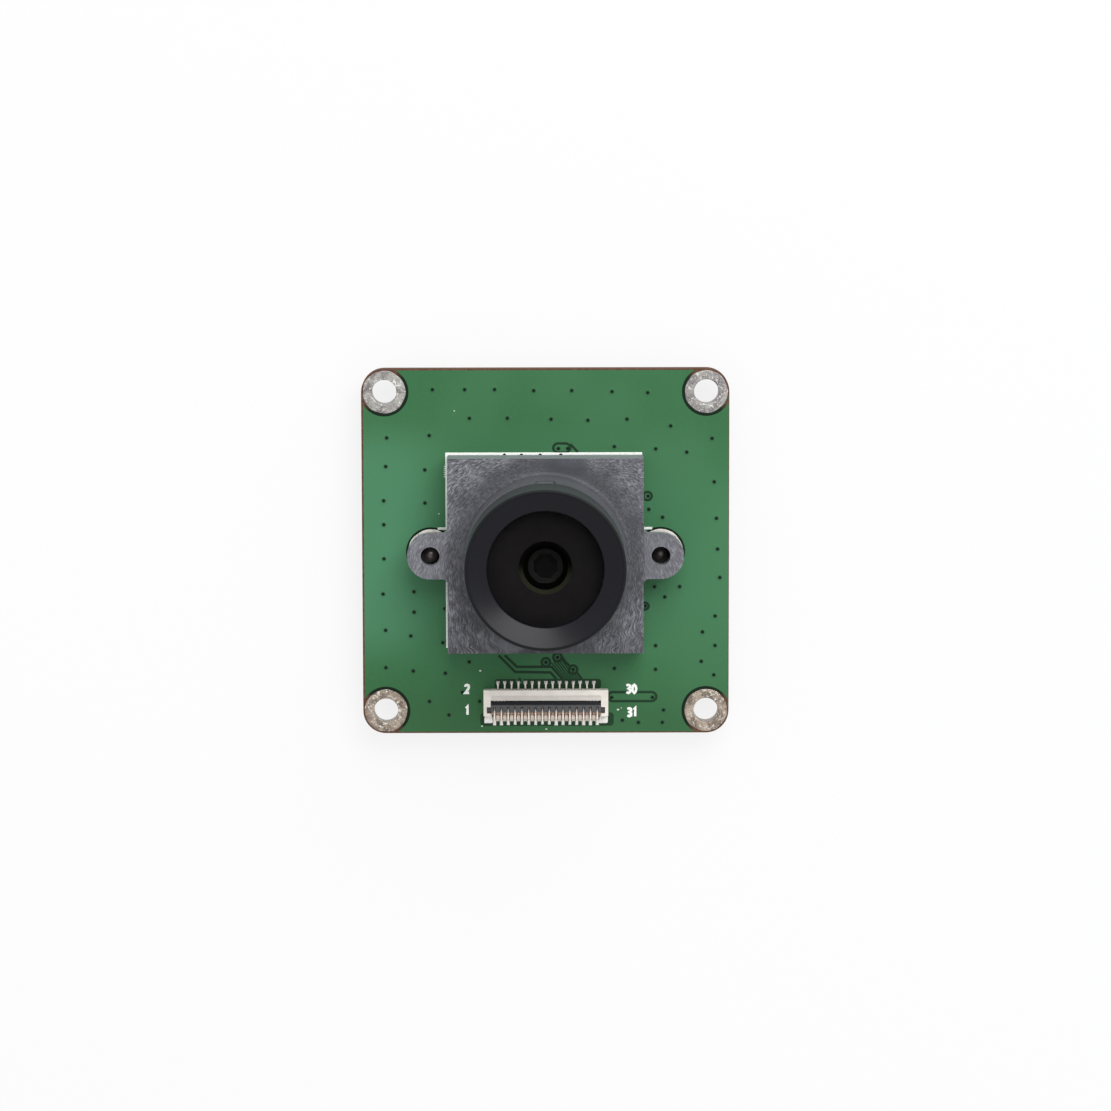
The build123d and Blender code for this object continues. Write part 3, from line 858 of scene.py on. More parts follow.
field_outline = eased([
    (INNER_R, BAFFLE_FOOT, 0.02),
    (INNER_R, GLASS_FOOT - 0.01, 0.02),
    (EYE_RIM_R, GLASS_FOOT - 0.01, 0.02),
    (EYE_R, GLASS_FOOT - 0.5, 0.02),
    (EYE_R, BAFFLE_FOOT + 0.3, 0.05),
    (EYE_FLOOR_R, BAFFLE_FOOT + 0.12, 0.02),
    (EYE_FLOOR_R, BAFFLE_FOOT, 0.02),
])
coat_outline = eased([
    (EYE_RIM_R, GLASS_FOOT - 0.005, 0.005),
    (EYE_RIM_R, GLASS_FOOT + 0.012, 0.005),
    (RING_R - SEAT, GLASS_FOOT + 0.012, 0.005),
    (RING_R - SEAT, GLASS_FOOT - 0.005, 0.005),
])
lathe("ledge_coat", coat_outline, INNER)
leaves_outline = eased([
    (EYE_FLOOR_R + 0.1, BAFFLE_FOOT + 0.02, 0.01),
    (EYE_FLOOR_R + 0.1, BAFFLE_FOOT - 0.03, 0.01),
    (LEAVES_R, BAFFLE_FOOT - 0.2, 0.01),
    (LEAVES_R, BAFFLE_FOOT - 0.14, 0.01),
], 2)
leaves = turned(leaves_outline, 8, start=np.pi / 8)
piece("leaves", surface("leaves", leaves, True, True), LEAVES, crease=10)
lathe("baffle", field_outline, WELL, ["lens_light_baffle"])
eye_outline = eased([
    (EYE_RIM_R - 0.01, GLASS_FOOT + 0.005, 0.02),
    (EYE_R + 0.06, GLASS_FOOT - 0.36, 0.02),
    (EYE_R + 0.06, GLASS_FOOT - 0.46, 0.02),
    (EYE_RIM_R + 0.02, GLASS_FOOT - 0.1, 0.02),
])
lathe("eye_edge", eye_outline, OLIVE)

second_top = dome_line(INNER_R - SEAT, BAFFLE_FOOT - SEAT, -SECOND_HOLLOW)
second_foot = [(INNER_R - SEAT, SECOND_FOOT + SEAT), (0, SECOND_FOOT + SEAT)]
second_outline = np.vstack([second_top, second_foot])
lathe("second_glass", second_outline, DEEP_GLASS, ["lens_second_element"], 64, False)
stop_outline = eased([
    (INNER_R, STOP_FOOT, 0.02),
    (INNER_R, STOP_FOOT + 0.2, 0.02),
    (STOP_R, STOP_FOOT + 0.2, 0.02),
    (STOP_R + 0.1, STOP_FOOT, 0.02),
])
lathe("stop", stop_outline, INNER, ["lens_aperture_stop"], 64)

# %% [markdown]
# ## The holder's tower
# The CAD tower is right in size but its wall is a polygon and its foot is
# sharp. A moulded part has a small rounded foot and eased edges, so a thin
# skin goes over it: one outline, carried round, with two shallow notches in
# the top where the thread glue is placed.

# %% Tower skin
FOOT_EASE = 0.45
NOTCH_HALF = 0.875
NOTCH_DEEP = 0.55
NOTCH_FROM_R = 6.3
FOOT_R = TOWER_R + 0.6
BORE_R = 6.0
SKIN = 0.012

tower_outline = eased([
    (BORE_R - SKIN, PLATE_TOP + 0.5, 0.02),
    (BORE_R - SKIN, TOWER_TOP + SKIN, 0.1),
    (TOWER_R + SKIN, TOWER_TOP + SKIN, 0.15),
    (TOWER_R + SKIN, PLATE_TOP, FOOT_EASE),
    (FOOT_R, PLATE_TOP + 0.004, 0.02),
    (FOOT_R, PLATE_TOP - 0.05, 0.02),
    (TOWER_R - 0.3, PLATE_TOP - 0.05, 0.02),
    (TOWER_R - 0.3, PLATE_TOP + 0.5, 0.02),
], 8)
tower_points = turned(tower_outline, 240)
from_axis = np.hypot(tower_points[..., X], tower_points[..., Y])
in_notch = (np.abs(tower_points[..., X]) < NOTCH_HALF) & (from_axis > NOTCH_FROM_R)
level = np.where(in_notch, TOWER_TOP - NOTCH_DEEP + SKIN, TOWER_TOP + SKIN)
tower_points[..., Z] = np.minimum(tower_points[..., Z], level)
piece("tower_skin", surface("tower_skin", tower_points, True, True), HOLDER)

# %% [markdown]
# ## Solder lands and plated holes
# Each corner hole is lined with copper and has a ring of it on both faces,
# all covered with solder. One outline does it all: across the front, down
# through the hole and back across the rear face. The outer edge wanders by a
# few hundredths, as dipped solder does. Round each land the lacquer keeps a
# narrow gap, where the laminate shows. Flat pieces like these reach a hair
# into the board, so that they never float.

# %% Lands
LAND_R = 1.88
LAND_GAP_R = 2.12
EAR_LAND_R = 2.0
EAR_GAP_R = 2.17
EDGE_GAP_R = 1.96
GAP_UNDER_LAND = 0.1
HOLE_R = 1.1
SOLDER_HIGH = 0.06
SUNK = 0.01


def land(centre, outer, seed, steps=72):
    """A solder ring on both faces and down the hole; its rim wanders by a sum of sines."""
    outline = eased([
        (outer, FRONT - SUNK, 0.01),
        (outer, FRONT + SOLDER_HIGH, 0.07),
        (HOLE_R - 0.03, FRONT + SOLDER_HIGH, 0.09),
        (HOLE_R - 0.03, BACK - SOLDER_HIGH, 0.09),
        (outer, BACK - SOLDER_HIGH, 0.07),
        (outer, BACK + SUNK, 0.01),
        (HOLE_R + 0.02, BACK + SUNK, 0.01),
        (HOLE_R + 0.02, FRONT - SUNK, 0.01),
    ])
    points = turned(outline, steps)
    angle = np.linspace(0, 2 * np.pi, steps, endpoint=False)
    wander = 0.014 * np.sin(5 * angle + seed) + 0.012 * np.sin(9 * angle + 2.3 * seed) - 0.01
    grow = 1 + wander * np.clip((outline[:, 0] - 1.5) / 0.3, 0, 1)[:, None] / outer
    points[..., :2] *= grow[..., None]
    return points + np.array([*centre, 0.0])


corner_lands = [land(centre, LAND_R, seed) for seed, centre in enumerate(HOLE_PLACES)]
ear_lands = [land(centre, EAR_LAND_R, seed + 7) for seed, centre in enumerate(EAR_PLACES)]
piece("lands", surface("lands", corner_lands, True, True), TINNED)
piece("ear_lands", surface("ear_lands", ear_lands, True, True), TIN_PAINTED_BRIGHT)


def clearance(centre, land_r, outer, face):
    """A flat ring on the board; past the hole's outer side it stops at the board's edge."""
    inner = land_r - GAP_UNDER_LAND
    angle = np.linspace(0, 2 * np.pi, 96, endpoint=False)[None, :]
    lift = np.array([-SUNK, 0.008, 0.008, -SUNK])[:, None]
    radius = np.array([inner, inner, outer, outer])[:, None] + 0 * angle
    out_x = np.abs(centre[0] + radius * np.cos(angle)) - HOLE_AT
    out_y = np.abs(centre[1] + radius * np.sin(angle)) - HOLE_AT
    corner = (out_x > 0) & (out_y > 0)
    beyond = np.where(corner, np.hypot(out_x, out_y), np.maximum(out_x, out_y))
    at_edge = beyond > HALF_BOARD - 0.02 - HOLE_AT
    radius = np.where(at_edge, np.minimum(radius, EDGE_GAP_R), radius)
    x, y = centre[0] + radius * np.cos(angle), centre[1] + radius * np.sin(angle)
    z = (FRONT + lift if face > 0 else BACK - lift) + 0 * angle
    outward = (np.cos(angle) * np.sign(centre[0]) + np.sin(angle) * np.sign(centre[1])) / np.sqrt(2)
    brown = np.clip((outward + 0.1) / 0.4, 0, 1) * (abs(centre[1]) > 1) + 0 * radius
    return np.stack([x, y, z], axis=-1), brown


gaps = [clearance(centre, LAND_R, LAND_GAP_R, face) for centre in HOLE_PLACES for face in (1, -1)]
gaps += [clearance(centre, EAR_LAND_R, EAR_GAP_R, face) for centre in EAR_PLACES for face in (1, -1)]
gap_points, gap_brown = (np.array(part) for part in zip(*gaps))
gap_mesh = surface("land_gaps", gap_points, True, True, bare=1.7, brown=gap_brown)
piece("land_gaps", gap_mesh, MASK)

# %% [markdown]
# ## Vias under the lacquer
# Small plated holes join the copper of both faces. The lacquer closes them
# and sinks in a little, so each is a shallow dimple; its dark middle and soft
# dark edge are painted shade. They go right through, so the same places serve
# both faces.

# %% Vias
VIA_PLACES = np.array([
    (-9.8, 14.2), (-7.0, 14.2), (-4.4, 14.2), (-1.0, 14.1), (2.3, 14.1), (5.8, 14.0), (8.9, 13.9),
    (-6.6, 11.7), (-3.3, 11.7), (0.5, 11.6), (7.1, 11.6), (3.7, 11.5), (10.9, 11.0), (-10.1, 10.2),
    (-13.8, 10.0), (14.5, 9.9), (6.0, 9.2), (9.6, 9.0), (12.3, 8.7), (-13.9, 7.5), (-10.5, 7.2),
    (14.7, 6.1), (-14.1, 4.5), (-10.5, 4.3), (9.0, 3.7), (10.2, 3.0), (14.9, 2.9), (-14.1, 2.4),
    (15.0, 0.2), (-14.1, -0.6), (15.2, -2.3), (9.5, -3.1), (11.7, -3.1), (-11.5, -3.5),
    (-14.2, -3.7), (10.4, -4.0), (-8.8, -5.0), (-11.5, -5.3), (14.8, -5.7), (-14.0, -6.9),
    (13.7, -7.1), (-11.8, -7.4), (-9.0, -8.0), (9.6, -8.3), (14.8, -8.3), (-6.7, -9.7),
    (13.6, -9.7), (-14.0, -10.2), (6.0, -10.3), (9.6, -10.4), (-11.6, -10.5), (-8.8, -10.7),
    (14.7, -10.9), (-2.3, -11.3), (-7.3, -12.4), (-10.2, -13.2), (-5.8, -13.2), (10.3, -14.0),
    (-8.5, -14.4), (6.7, -14.9), (8.1, -15.1), (10.2, -15.1),
])
VIA_DIMPLES = eased([
    (0.0, 0.002, 0.0),
    (0.08, 0.002, 0.03),
    (0.14, 0.01, 0.03),
    (0.22, 0.008, 0.03),
    (0.4, 0.004, 0.06),
    (0.42, -SUNK, 0.01),
    (0.0, -SUNK, 0.0),
], 4)
# Painted shade of a via: darkest in its middle, fading out to its edge.
VIA_PAINTED_SHADE = ([0, 0.09, 0.14, 0.2, 0.4], [2.0, 2.0, 0.9, 0.25, 0.0])


def dimples(places, face, profile=VIA_DIMPLES, steps=20, lift=0.0):
    """A shallow dished disc at each place, with painted shade dark in the middle and fading to its edge.
    """
    shape = turned(profile, steps)
    flip = np.array([1.0, 1.0, face])
    level = FRONT + lift if face > 0 else BACK - lift
    centres = np.column_stack([places, np.full(len(places), level)])
    points = centres[:, None, None, :] + (shape * flip)[None]
    r = np.linalg.norm(shape[..., :2], axis=-1)
    dark = np.interp(r, *VIA_PAINTED_SHADE)
    return points, dark[None]


front_points, dark = dimples(VIA_PLACES, 1)
back_points = dimples(VIA_PLACES, -1)[0]
via_points = np.vstack([front_points, back_points])
piece("vias", surface("vias", via_points, False, True, bare=dark), MASK)

# %% [markdown]
# ## Lines on the board
# Printed outlines and the gaps in the copper are both thin strips that follow
# a path. A strip has a low crowned section with its lower side sunk in the
# board, carried along the path, and turned with it by mitred corners.


# %% Strips along a path
STRIP_ACROSS = np.array([-0.5, -0.42, 0.0, 0.42, 0.5, 0.5, -0.5])
STRIP_UP = np.array([0.1, 0.85, 1.0, 0.85, 0.1, -1.0, -1.0])


def strip(path, wide, high):
    """A crowned strip along a flat path: sideways vectors are mitred, so corners stay sharp."""
    path = np.asarray(path, dtype=float)
    step = np.diff(path, axis=0)
    step /= np.linalg.norm(step, axis=1, keepdims=True)
    closed = np.allclose(path[0], path[-1])
    before = np.vstack([step[-1:] if closed else step[:1], step])
    after = np.vstack([step, step[:1] if closed else step[-1:]])
    side = np.stack([-(before + after)[:, 1], (before + after)[:, 0]], axis=-1)
    side /= np.linalg.norm(side, axis=1, keepdims=True)
    mitre = np.clip(np.sum(side * np.stack([-before[:, 1], before[:, 0]], -1), axis=1), 0.4, 1)
    side /= mitre[:, None]
    flat = path[:, None] + side[:, None] * (STRIP_ACROSS * wide)[None, :, None]
    up = STRIP_UP * high + 0 * flat[..., 0]
    return np.concatenate([flat, up[..., None]], axis=-1)


def capped(points):
    """Closes a strip's ends by drawing both end sections to their middles."""
    first = np.broadcast_to(points[:1].mean(axis=1, keepdims=True), points[:1].shape)
    last = np.broadcast_to(points[-1:].mean(axis=1, keepdims=True), points[-1:].shape)
    return np.concatenate([first, points, last])


def lay(points):
    """Lays a strip or plate on the board's front face."""
    return points + np.array([0.0, 0.0, FRONT])


def joined(name, meshes):
    """Several meshes made one."""
    work = bmesh.new()
    for mesh in meshes:
        work.from_mesh(mesh)
        bpy.data.meshes.remove(mesh)
    whole = bpy.data.meshes.new(name)
    work.to_mesh(whole)
    work.free()
    return whole


def strips(name, paths, wide, high, **painted):
    """One mesh of strips along several paths."""
    return joined(name, [
        surface(name, lay(capped(strip(path, wide, high))), False, True, **painted) for path in paths
    ])


# %% [markdown]
# ## Gaps in the copper
# The whole face is copper, and a trace is cut out of it by two dark lines.
# Near the connector a few of them bend at 45 degrees, as board traces do, a
# band of narrow ones runs to its contacts, and round the vias where a trace
# changes sides the gap is a ring.

# %% Copper gaps
GAP_WIDE = 0.23
BAND_GAP_WIDE = 0.13
GAP_HIGH = 0.012
RING_GAP_R = 0.36
BAND_VIAS = [(0.01, -9.75), (1.02, -9.31), (2.39, -10.4)]


def ring_path(x, y, radius, count=20):
    """A circle as a closed path."""
    angle = np.linspace(0, 2 * np.pi, count + 1)
    return np.column_stack([x + radius * np.cos(angle), y + radius * np.sin(angle)])


def slot_path(x0, x1, y0, y1, count=8):
    """A long loop with round ends, as a closed path."""
    r = (y1 - y0) / 2
    turn = np.linspace(-np.pi / 2, np.pi / 2, count)
    right = np.column_stack([x1 - r + r * np.cos(turn), y0 + r + r * np.sin(turn)])
    left = np.column_stack([x0 + r - r * np.cos(turn), y0 + r - r * np.sin(turn)])
    return np.vstack([right, left, right[:1]])


gap_paths = [
    [(-4.13, -9.13), (-2.68, -10.6), (0.41, -10.65), (0.93, -11.24)],
    [(-3.58, -9.13), (-2.53, -10.15), (0.5, -10.15), (1.45, -11.24)],
    [(1.35, -9.35), (2.12, -10.12)],
    [(2.68, -10.62), (3.15, -11.25)],
    slot_path(5.45, 9.67, -13.2, -12.4),
    slot_path(0.69, 2.17, 8.7, 9.5),
    [(2.17, 9.45), (2.85, 8.72)],
    *(ring_path(x, y, RING_GAP_R) for x, y in BAND_VIAS),
    ring_path(8.9, 4.88, RING_GAP_R),
    ring_path(8.69, -4.8, 0.3),
]
band_paths = [[(0.5 + k * 0.2, -9.8 + k * 0.1), (1.75 + k * 0.22, -11.28)] for k in range(6)]
gap_mesh = strips("copper_gaps", gap_paths, GAP_WIDE, GAP_HIGH, bare=1.3)
band_mesh = strips("trace_band", band_paths, BAND_GAP_WIDE, GAP_HIGH, bare=1.15)
ring_vias = np.array([
    *BAND_VIAS, (5.75, -12.88), (9.33, -12.88), (1.13, 9.04), (1.96, 9.04), (8.94, 4.86), (8.69, -4.8),
])
piece("copper_gaps", joined("copper_gaps", [gap_mesh, band_mesh]), MASK)
front_points, dark = dimples(ring_vias, 1)
piece("ring_vias", surface("ring_vias", front_points, False, True, bare=dark), MASK)

# %% [markdown]
# ## Bare fields under the connector's feet
# Under both rows of contacts the copper is cleared away in one field, and
# narrow tinned pads stand in it. The field is a rounded plate, a hair above
# the board, painted bare.


# %% Cleared fields and pads
def rounded_plate(x0, x1, y0, y1, corner, high, steps=6):
    """A flat plate with round corners: an outline of four arcs, drawn in to its middle."""
    turn = np.linspace(0, 2 * np.pi, 4, endpoint=False)[:, None] + np.linspace(0, np.pi / 2, steps)
    middle_x = np.array([x1 - corner, x0 + corner, x0 + corner, x1 - corner])[:, None]
    middle_y = np.array([y1 - corner, y1 - corner, y0 + corner, y0 + corner])[:, None]
    arcs = np.stack([middle_x + corner * np.cos(turn), middle_y + corner * np.sin(turn)], axis=-1)
    outline = arcs.reshape(-1, 2)
    centre = outline.mean(axis=0)
    shares = np.array([0.0, 1.0, 1.0, 0.0])[:, None, None]
    flat = centre + (outline - centre)[None] * shares
    levels = np.array([high, high, -SUNK, -SUNK])[:, None] + 0 * flat[..., 0]
    return np.concatenate([flat, levels[..., None]], axis=-1)


FIELDS = [(-4.48, 4.84, -12.1, -11.22, 0.25), (-5.75, 5.94, -15.38, -14.2, 0.3)]
field_mesh = joined("bare_fields", [
    surface("field", lay(rounded_plate(*field, 0.005)), False, True, bare=1.15) for field in FIELDS
])
piece("bare_fields", field_mesh, MASK)

CONTACT_STEP = 0.6
EDGE_FEET = low_high("contacts_edge_row", Y)[0]
LENS_FEET = low_high("contacts_lens_row", Y)[1]
PAD_HALF = 0.13
PAD_CORNER = 0.05
PAD_HIGH = 0.03


def row_xs(count):
    """Where the contacts of one row stand, evenly about the connector's middle."""
    return (np.arange(count) - (count - 1) / 2) * CONTACT_STEP


def pad(x, y0, y1):
    """A narrow tinned pad for one foot."""
    return rounded_plate(x - PAD_HALF, x + PAD_HALF, y0, y1, PAD_CORNER, PAD_HIGH)


edge_xs, lens_xs = row_xs(16), row_xs(15)
pads = [pad(x, EDGE_FEET - 0.08, EDGE_FEET + 0.6) for x in edge_xs]
pads += [pad(x, LENS_FEET - 0.22, LENS_FEET + 0.1) for x in lens_xs]
piece("pads", surface("pads", lay(np.array(pads)), False, True), TINNED)

# %% [markdown]
# ## Contacts with hooks
# A contact of the edge row is cut from thin sheet: a foot, a heel, a hook
# over the lock's shaft and an arm under the roof. The sheet is pressed
# narrower towards the hook's tip, so from above the row looks like thorns.
# Each is two flanks with the same outline and a rim of squares between them.

# %% Edge row of contacts
SHEET = 0.14
HEEL = 0.16
TIP = 0.035
CONTACT_LINE = np.array([
    (-14.43, 1.92, SHEET), (-13.42, 1.92, SHEET), (-13.42, 2.24, SHEET), (-12.43, 2.16, SHEET),
    (-13.3, 2.16, SHEET), (-13.3, 1.8, SHEET), (-14.38, 1.8, SHEET), (-14.38, 1.6, SHEET),
    (-15.18, 1.6, SHEET), (-15.18, 1.72, SHEET), (-14.63, 1.72, HEEL), (-14.63, 2.44, HEEL),
    (-13.72, 2.44, TIP), (-13.72, 2.29, TIP), (-14.43, 2.31, HEEL),
])


def thorns(name, xs, line):
    """Sheet contacts from a line of (y, z, width): each flank stands half the width off its x."""
    count = len(line)
    x = xs[:, None, None] + np.array([-0.5, 0.5])[None, :, None] * line[None, None, :, 2]
    points = np.stack([x, line[:, 0] + 0 * x, line[:, 1] + 0 * x], axis=-1)
    here = np.arange(count)
    onward = (here + 1) % count
    rim = np.stack([here, onward, onward + count, here + count], axis=1).tolist()
    one = [here.tolist(), (here + count).tolist()] + rim
    faces = [[corner + k * 2 * count for corner in face] for k in range(len(xs)) for face in one]
    mesh = bpy.data.meshes.new(name)
    mesh.from_pydata((points.reshape(-1, 3) * MM).tolist(), [], faces)
    return mesh


contact_mesh = thorns("edge_contacts", edge_xs, CONTACT_LINE)
piece("edge_contacts", contact_mesh, CONTACTS, ["contacts_edge_row"])

# %% [markdown]
# ## Solder on the contact feet
# Solder climbs each foot and ends in a small bright heel. A joint is a low
# heap on a square grid: high in the middle, zero at its edge, with its own
# length and lean, because no two are quite alike.

# %% Solder joints
random = np.random.default_rng(5)


def heaps(centres, long, wide, high, level, face=1):
    """Small heaps of solder: height = high (1 - u^2)(1 - v^2), on a flat foot that closes them."""
    count = len(centres)
    u, v = np.meshgrid(np.linspace(-1, 1, 9), np.linspace(-1, 1, 7), indexing="ij")
    size = random.uniform(0.8, 1.15, (count, 1, 1))
    lean = random.uniform(-0.25, 0.25, (count, 1, 1))
    x = centres[:, 0, None, None] + v * wide / 2 * size
    y = centres[:, 1, None, None] + u * long / 2 * size
    z = high * size * (1 - u ** 2) * (1 - v ** 2) * (1 + lean * u)
    top = np.stack([x, y, level + face * z], axis=-1)
    foot = np.stack([x, y, level + 0 * z - face * SUNK], axis=-1)
    return np.concatenate([top, foot[:, ::-1]], axis=1)


edge_joints = np.column_stack([edge_xs, np.full(len(edge_xs), EDGE_FEET + 0.08)])
lens_joints = np.column_stack([lens_xs, np.full(len(lens_xs), LENS_FEET - 0.02)])
on_pad = FRONT + 0.02
edge_heap = heaps(edge_joints, 0.42, 0.26, 0.17, on_pad)
lens_heap = heaps(lens_joints, 0.24, 0.3, 0.2, on_pad)
contact_heaps = np.concatenate([edge_heap, lens_heap])
piece("contact_solder", surface("contact_solder", contact_heaps, True, False), SOLDER)

# %% [markdown]
# ## White print
# The holder's place is printed as a thin square, a little off to the left, so
# that it shows beside the holder on two sides. Beside the connector stand the
# numbers of its first and last contacts, drawn with a round pen.

# %% Printed outline and numbers
PRINT_HIGH = 0.02
PEN_WIDE = 0.22
COMB_WIDE = 0.07
OUTLINE_LEFT, OUTLINE_RIGHT = -8.6, 8.42
OUTLINE_FOOT, OUTLINE_TOP = -8.45, 8.6
EAR_LINE_Y = 2.05
print_paths = [
    [(OUTLINE_LEFT, OUTLINE_FOOT), (OUTLINE_LEFT, OUTLINE_TOP), (OUTLINE_RIGHT, OUTLINE_TOP)],
    [(-9.4, EAR_LINE_Y), (OUTLINE_LEFT, EAR_LINE_Y)],
    [(8.6, EAR_LINE_Y), (9.3, EAR_LINE_Y)],
]
comb_paths = [[(-8.84, y), (-8.66, y)] for y in np.linspace(6.6, 7.5, 6)]
outline_mesh = joined("printed_outline", [
    strips("frame_lines", print_paths, PEN_WIDE, PRINT_HIGH),
    strips("comb_lines", comb_paths, COMB_WIDE, PRINT_HIGH),
])

DIGITS = {
    "0": [[(0.5, 1.0), (0.15, 0.85), (0.0, 0.5), (0.15, 0.15), (0.5, 0.0), (0.85, 0.15),
           (1.0, 0.5), (0.85, 0.85), (0.5, 1.0)]],
    "1": [[(0.1, 0.8), (0.5, 1.0), (0.5, 0.0)]],
    "2": [[(0.0, 0.75), (0.1, 0.92), (0.45, 1.0), (0.85, 0.92), (0.95, 0.7), (0.7, 0.42),
           (0.0, 0.0), (1.0, 0.0)]],
    "3": [[(0.0, 0.9), (0.45, 1.0), (0.9, 0.9), (0.95, 0.7), (0.5, 0.53), (0.95, 0.35),
           (0.95, 0.12), (0.45, 0.0), (0.0, 0.12)]],
}
DIGIT_HIGH = 0.72
DIGIT_WIDE = 0.34
DIGIT_STEP = DIGIT_WIDE * 1.5


def number_paths(text, left, foot):
    """The pen's paths for a number whose lower left corner is given."""
    paths = []
    for k, digit in enumerate(text):
        corner = np.array([left + k * DIGIT_STEP, foot])
        paths += [corner + np.array(path) * (DIGIT_WIDE, DIGIT_HIGH) for path in DIGITS[digit]]
    return paths


digit_paths = number_paths("2", -7.06, -12.45) + number_paths("1", -7.04, -14.38)
digit_paths += number_paths("30", 7.06, -12.48) + number_paths("31", 7.14, -14.55)
digit_mesh = strips("digits", digit_paths, PEN_WIDE, PRINT_HIGH)
piece("print", joined("print", [outline_mesh, digit_mesh]), INK)

# %% [markdown]
# ## Four vias at the print
# Four vias lie under the printed line by the holder, and the ink has sunk
# into them; their dark middles, painted shade, stand in the line's lower edge.

# %% Vias in the print
PRINT_VIA_Y = 8.47
PRINT_VIAS = np.array([(x, PRINT_VIA_Y) for x in (-3.56, -2.08, -0.45, 1.35)])
SUNK_VIA = eased([(0.0, 0.002, 0.0), (0.16, 0.002, 0.02), (0.18, -SUNK, 0.0), (0.0, -SUNK, 0.0)], 3)
print_points = dimples(PRINT_VIAS, 1, SUNK_VIA, 16, PRINT_HIGH)[0]
# Painted shade fills the sunk middles.
print_via_mesh = surface("print_vias", print_points, False, True, bare=2.0)
piece("print_vias", print_via_mesh, MASK)

# %% [markdown]
# ## Flux specks
# A few pale specks of flux are left on the lacquer, as the photograph shows.

# %% Specks
SPECKS = np.array([
    (-5.74, -10.49, 0.08), (6.31, -13.96, 0.08), (0.03, -15.67, 0.06), (-5.61, -15.4, 0.06),
    (-7.71, -1.68, 0.05), (-9.3, 3.34, 0.05), (6.6, -13.8, 0.04), (-7.9, 12.35, 0.05),
])
speck_shape = turned([(0.0, 0.35), (0.6, 0.28), (1.0, 0.0), (0.6, -0.1), (0.0, -0.1)], 10)
speck_points = speck_shape[None] * SPECKS[:, None, None, 2:] * (1.3, 0.8, 1.0)
speck_points += np.column_stack([SPECKS[:, :2], np.full(len(SPECKS), FRONT)])[:, None, None]
piece("specks", surface("specks", speck_points, False, True), INK)

# %% [markdown]
# ## Screws from the back
# Two self-tapping screws come up through the board into the ears, and the
# left one's bright tip shows in its hole. The right hole is dark, so its screw
# ends a little lower. The head is a disc on a polar grid whose height is a low
# dome with a cross pressed into it. The shank's radius rises and falls along a
# helix, which makes a real thread.

# %% Screws
SCREW_HEAD_R = 1.9
SCREW_HEAD_HIGH = 1.3
HEAD_SIDE = 0.75
HEAD_BEND = 0.5
SCREW_TIPS = {"left": 4.0, "right": 3.4}
CROSS_HALF = (1.0, 0.225)
CROSS_DEEP = 0.75
CORE_SCREW_R = 0.62
CREST_SCREW_R = 0.81
SCREW_PITCH = 0.45


def screw_head(x):
    """Polar grid: the foot ring at the board, the rounded side, then the domed and crossed face."""
    angle = np.linspace(0, 2 * np.pi, 96, endpoint=False)[None, :]
    side_r = np.array([0.0, SCREW_HEAD_R - 0.05, SCREW_HEAD_R])[:, None]
    side_z = np.array([0.0, 0.0, -0.06])[:, None]
    ease_in = np.linspace(0, np.pi / 2, 6)[:, None]
    bend_r = SCREW_HEAD_R - HEAD_BEND + HEAD_BEND * np.cos(ease_in)
    bend_z = -HEAD_SIDE - 0.45 * np.sin(ease_in)
    face_r = np.linspace(SCREW_HEAD_R - HEAD_BEND - 0.05, 0, 26)[:, None]
    face_z = -SCREW_HEAD_HIGH + 0.1 * (face_r / SCREW_HEAD_R) ** 2
    r = np.vstack([side_r, bend_r, face_r]) + 0 * angle
    z = np.vstack([side_z, bend_z, face_z]) + 0 * angle
    px, py = r * np.cos(angle), r * np.sin(angle)

    def arm(u, v):
        """How much of the full depth one arm of the cross has at a point."""
        end = np.clip((CROSS_HALF[0] - np.abs(u)) / 0.3, 0, 1)
        return end * np.clip((CROSS_HALF[1] - np.abs(v)) / 0.06, 0, 1)

    on_face = np.arange(len(r))[:, None] >= len(side_r) + len(bend_r)
    z = z + CROSS_DEEP * np.maximum(arm(px, py), arm(py, px)) * on_face
    return np.stack([x + px, py, z + BACK], axis=-1)


def screw_shank(x, turn, top):
    """Helix grid: radius = core + depth x peak(height / pitch - angle), closed by a cone at the tip."""
    angle = np.linspace(0, 2 * np.pi, 32, endpoint=False)[None, :]
    height = np.linspace(BACK - 0.1, top - 0.35, 90)[:, None]
    phase = (height / SCREW_PITCH - (angle + turn) / (2 * np.pi)) % 1.0
    peak = np.clip(1 - np.abs(phase - 0.5) * 4, 0, 1)
    r = CORE_SCREW_R + (CREST_SCREW_R - CORE_SCREW_R) * peak
    tip_z = np.array([top - 0.3, top - 0.2, top - 0.1, top])[:, None] + 0 * angle
    tip_r = np.array([CORE_SCREW_R, 0.5, 0.3, 0.0])[:, None] + 0 * angle
    foot = np.zeros_like(angle)
    r = np.vstack([foot, r, tip_r])
    z = np.vstack([foot + BACK - 0.1, height + 0 * angle, tip_z])
    return np.stack([x + r * np.cos(angle), r * np.sin(angle), z], axis=-1)


for side, x, turn in (("left", -EAR_AT, 0.4), ("right", EAR_AT, 2.9)):
    parts = [
        surface("head", screw_head(x), False, True),
        surface("shank", screw_shank(x, turn, SCREW_TIPS[side]), False, True),
    ]
    name = f"screw_{side}"
    piece(name, joined(name, parts), STEEL, [f"holder_{name}"])

# %% [markdown]
# ## Chip parts on the back
# A chip capacitor or resistor has a metal cap at each end and a slope of
# solder down to the board. Each end is one small closed loft: a cap section
# that is a hair larger than the chip, then a curved slope that thins out.


# %% End caps and solder slopes
CAP_LONG = 0.22
CAP_THICK = 0.012
SLOPE_LONG = 0.2


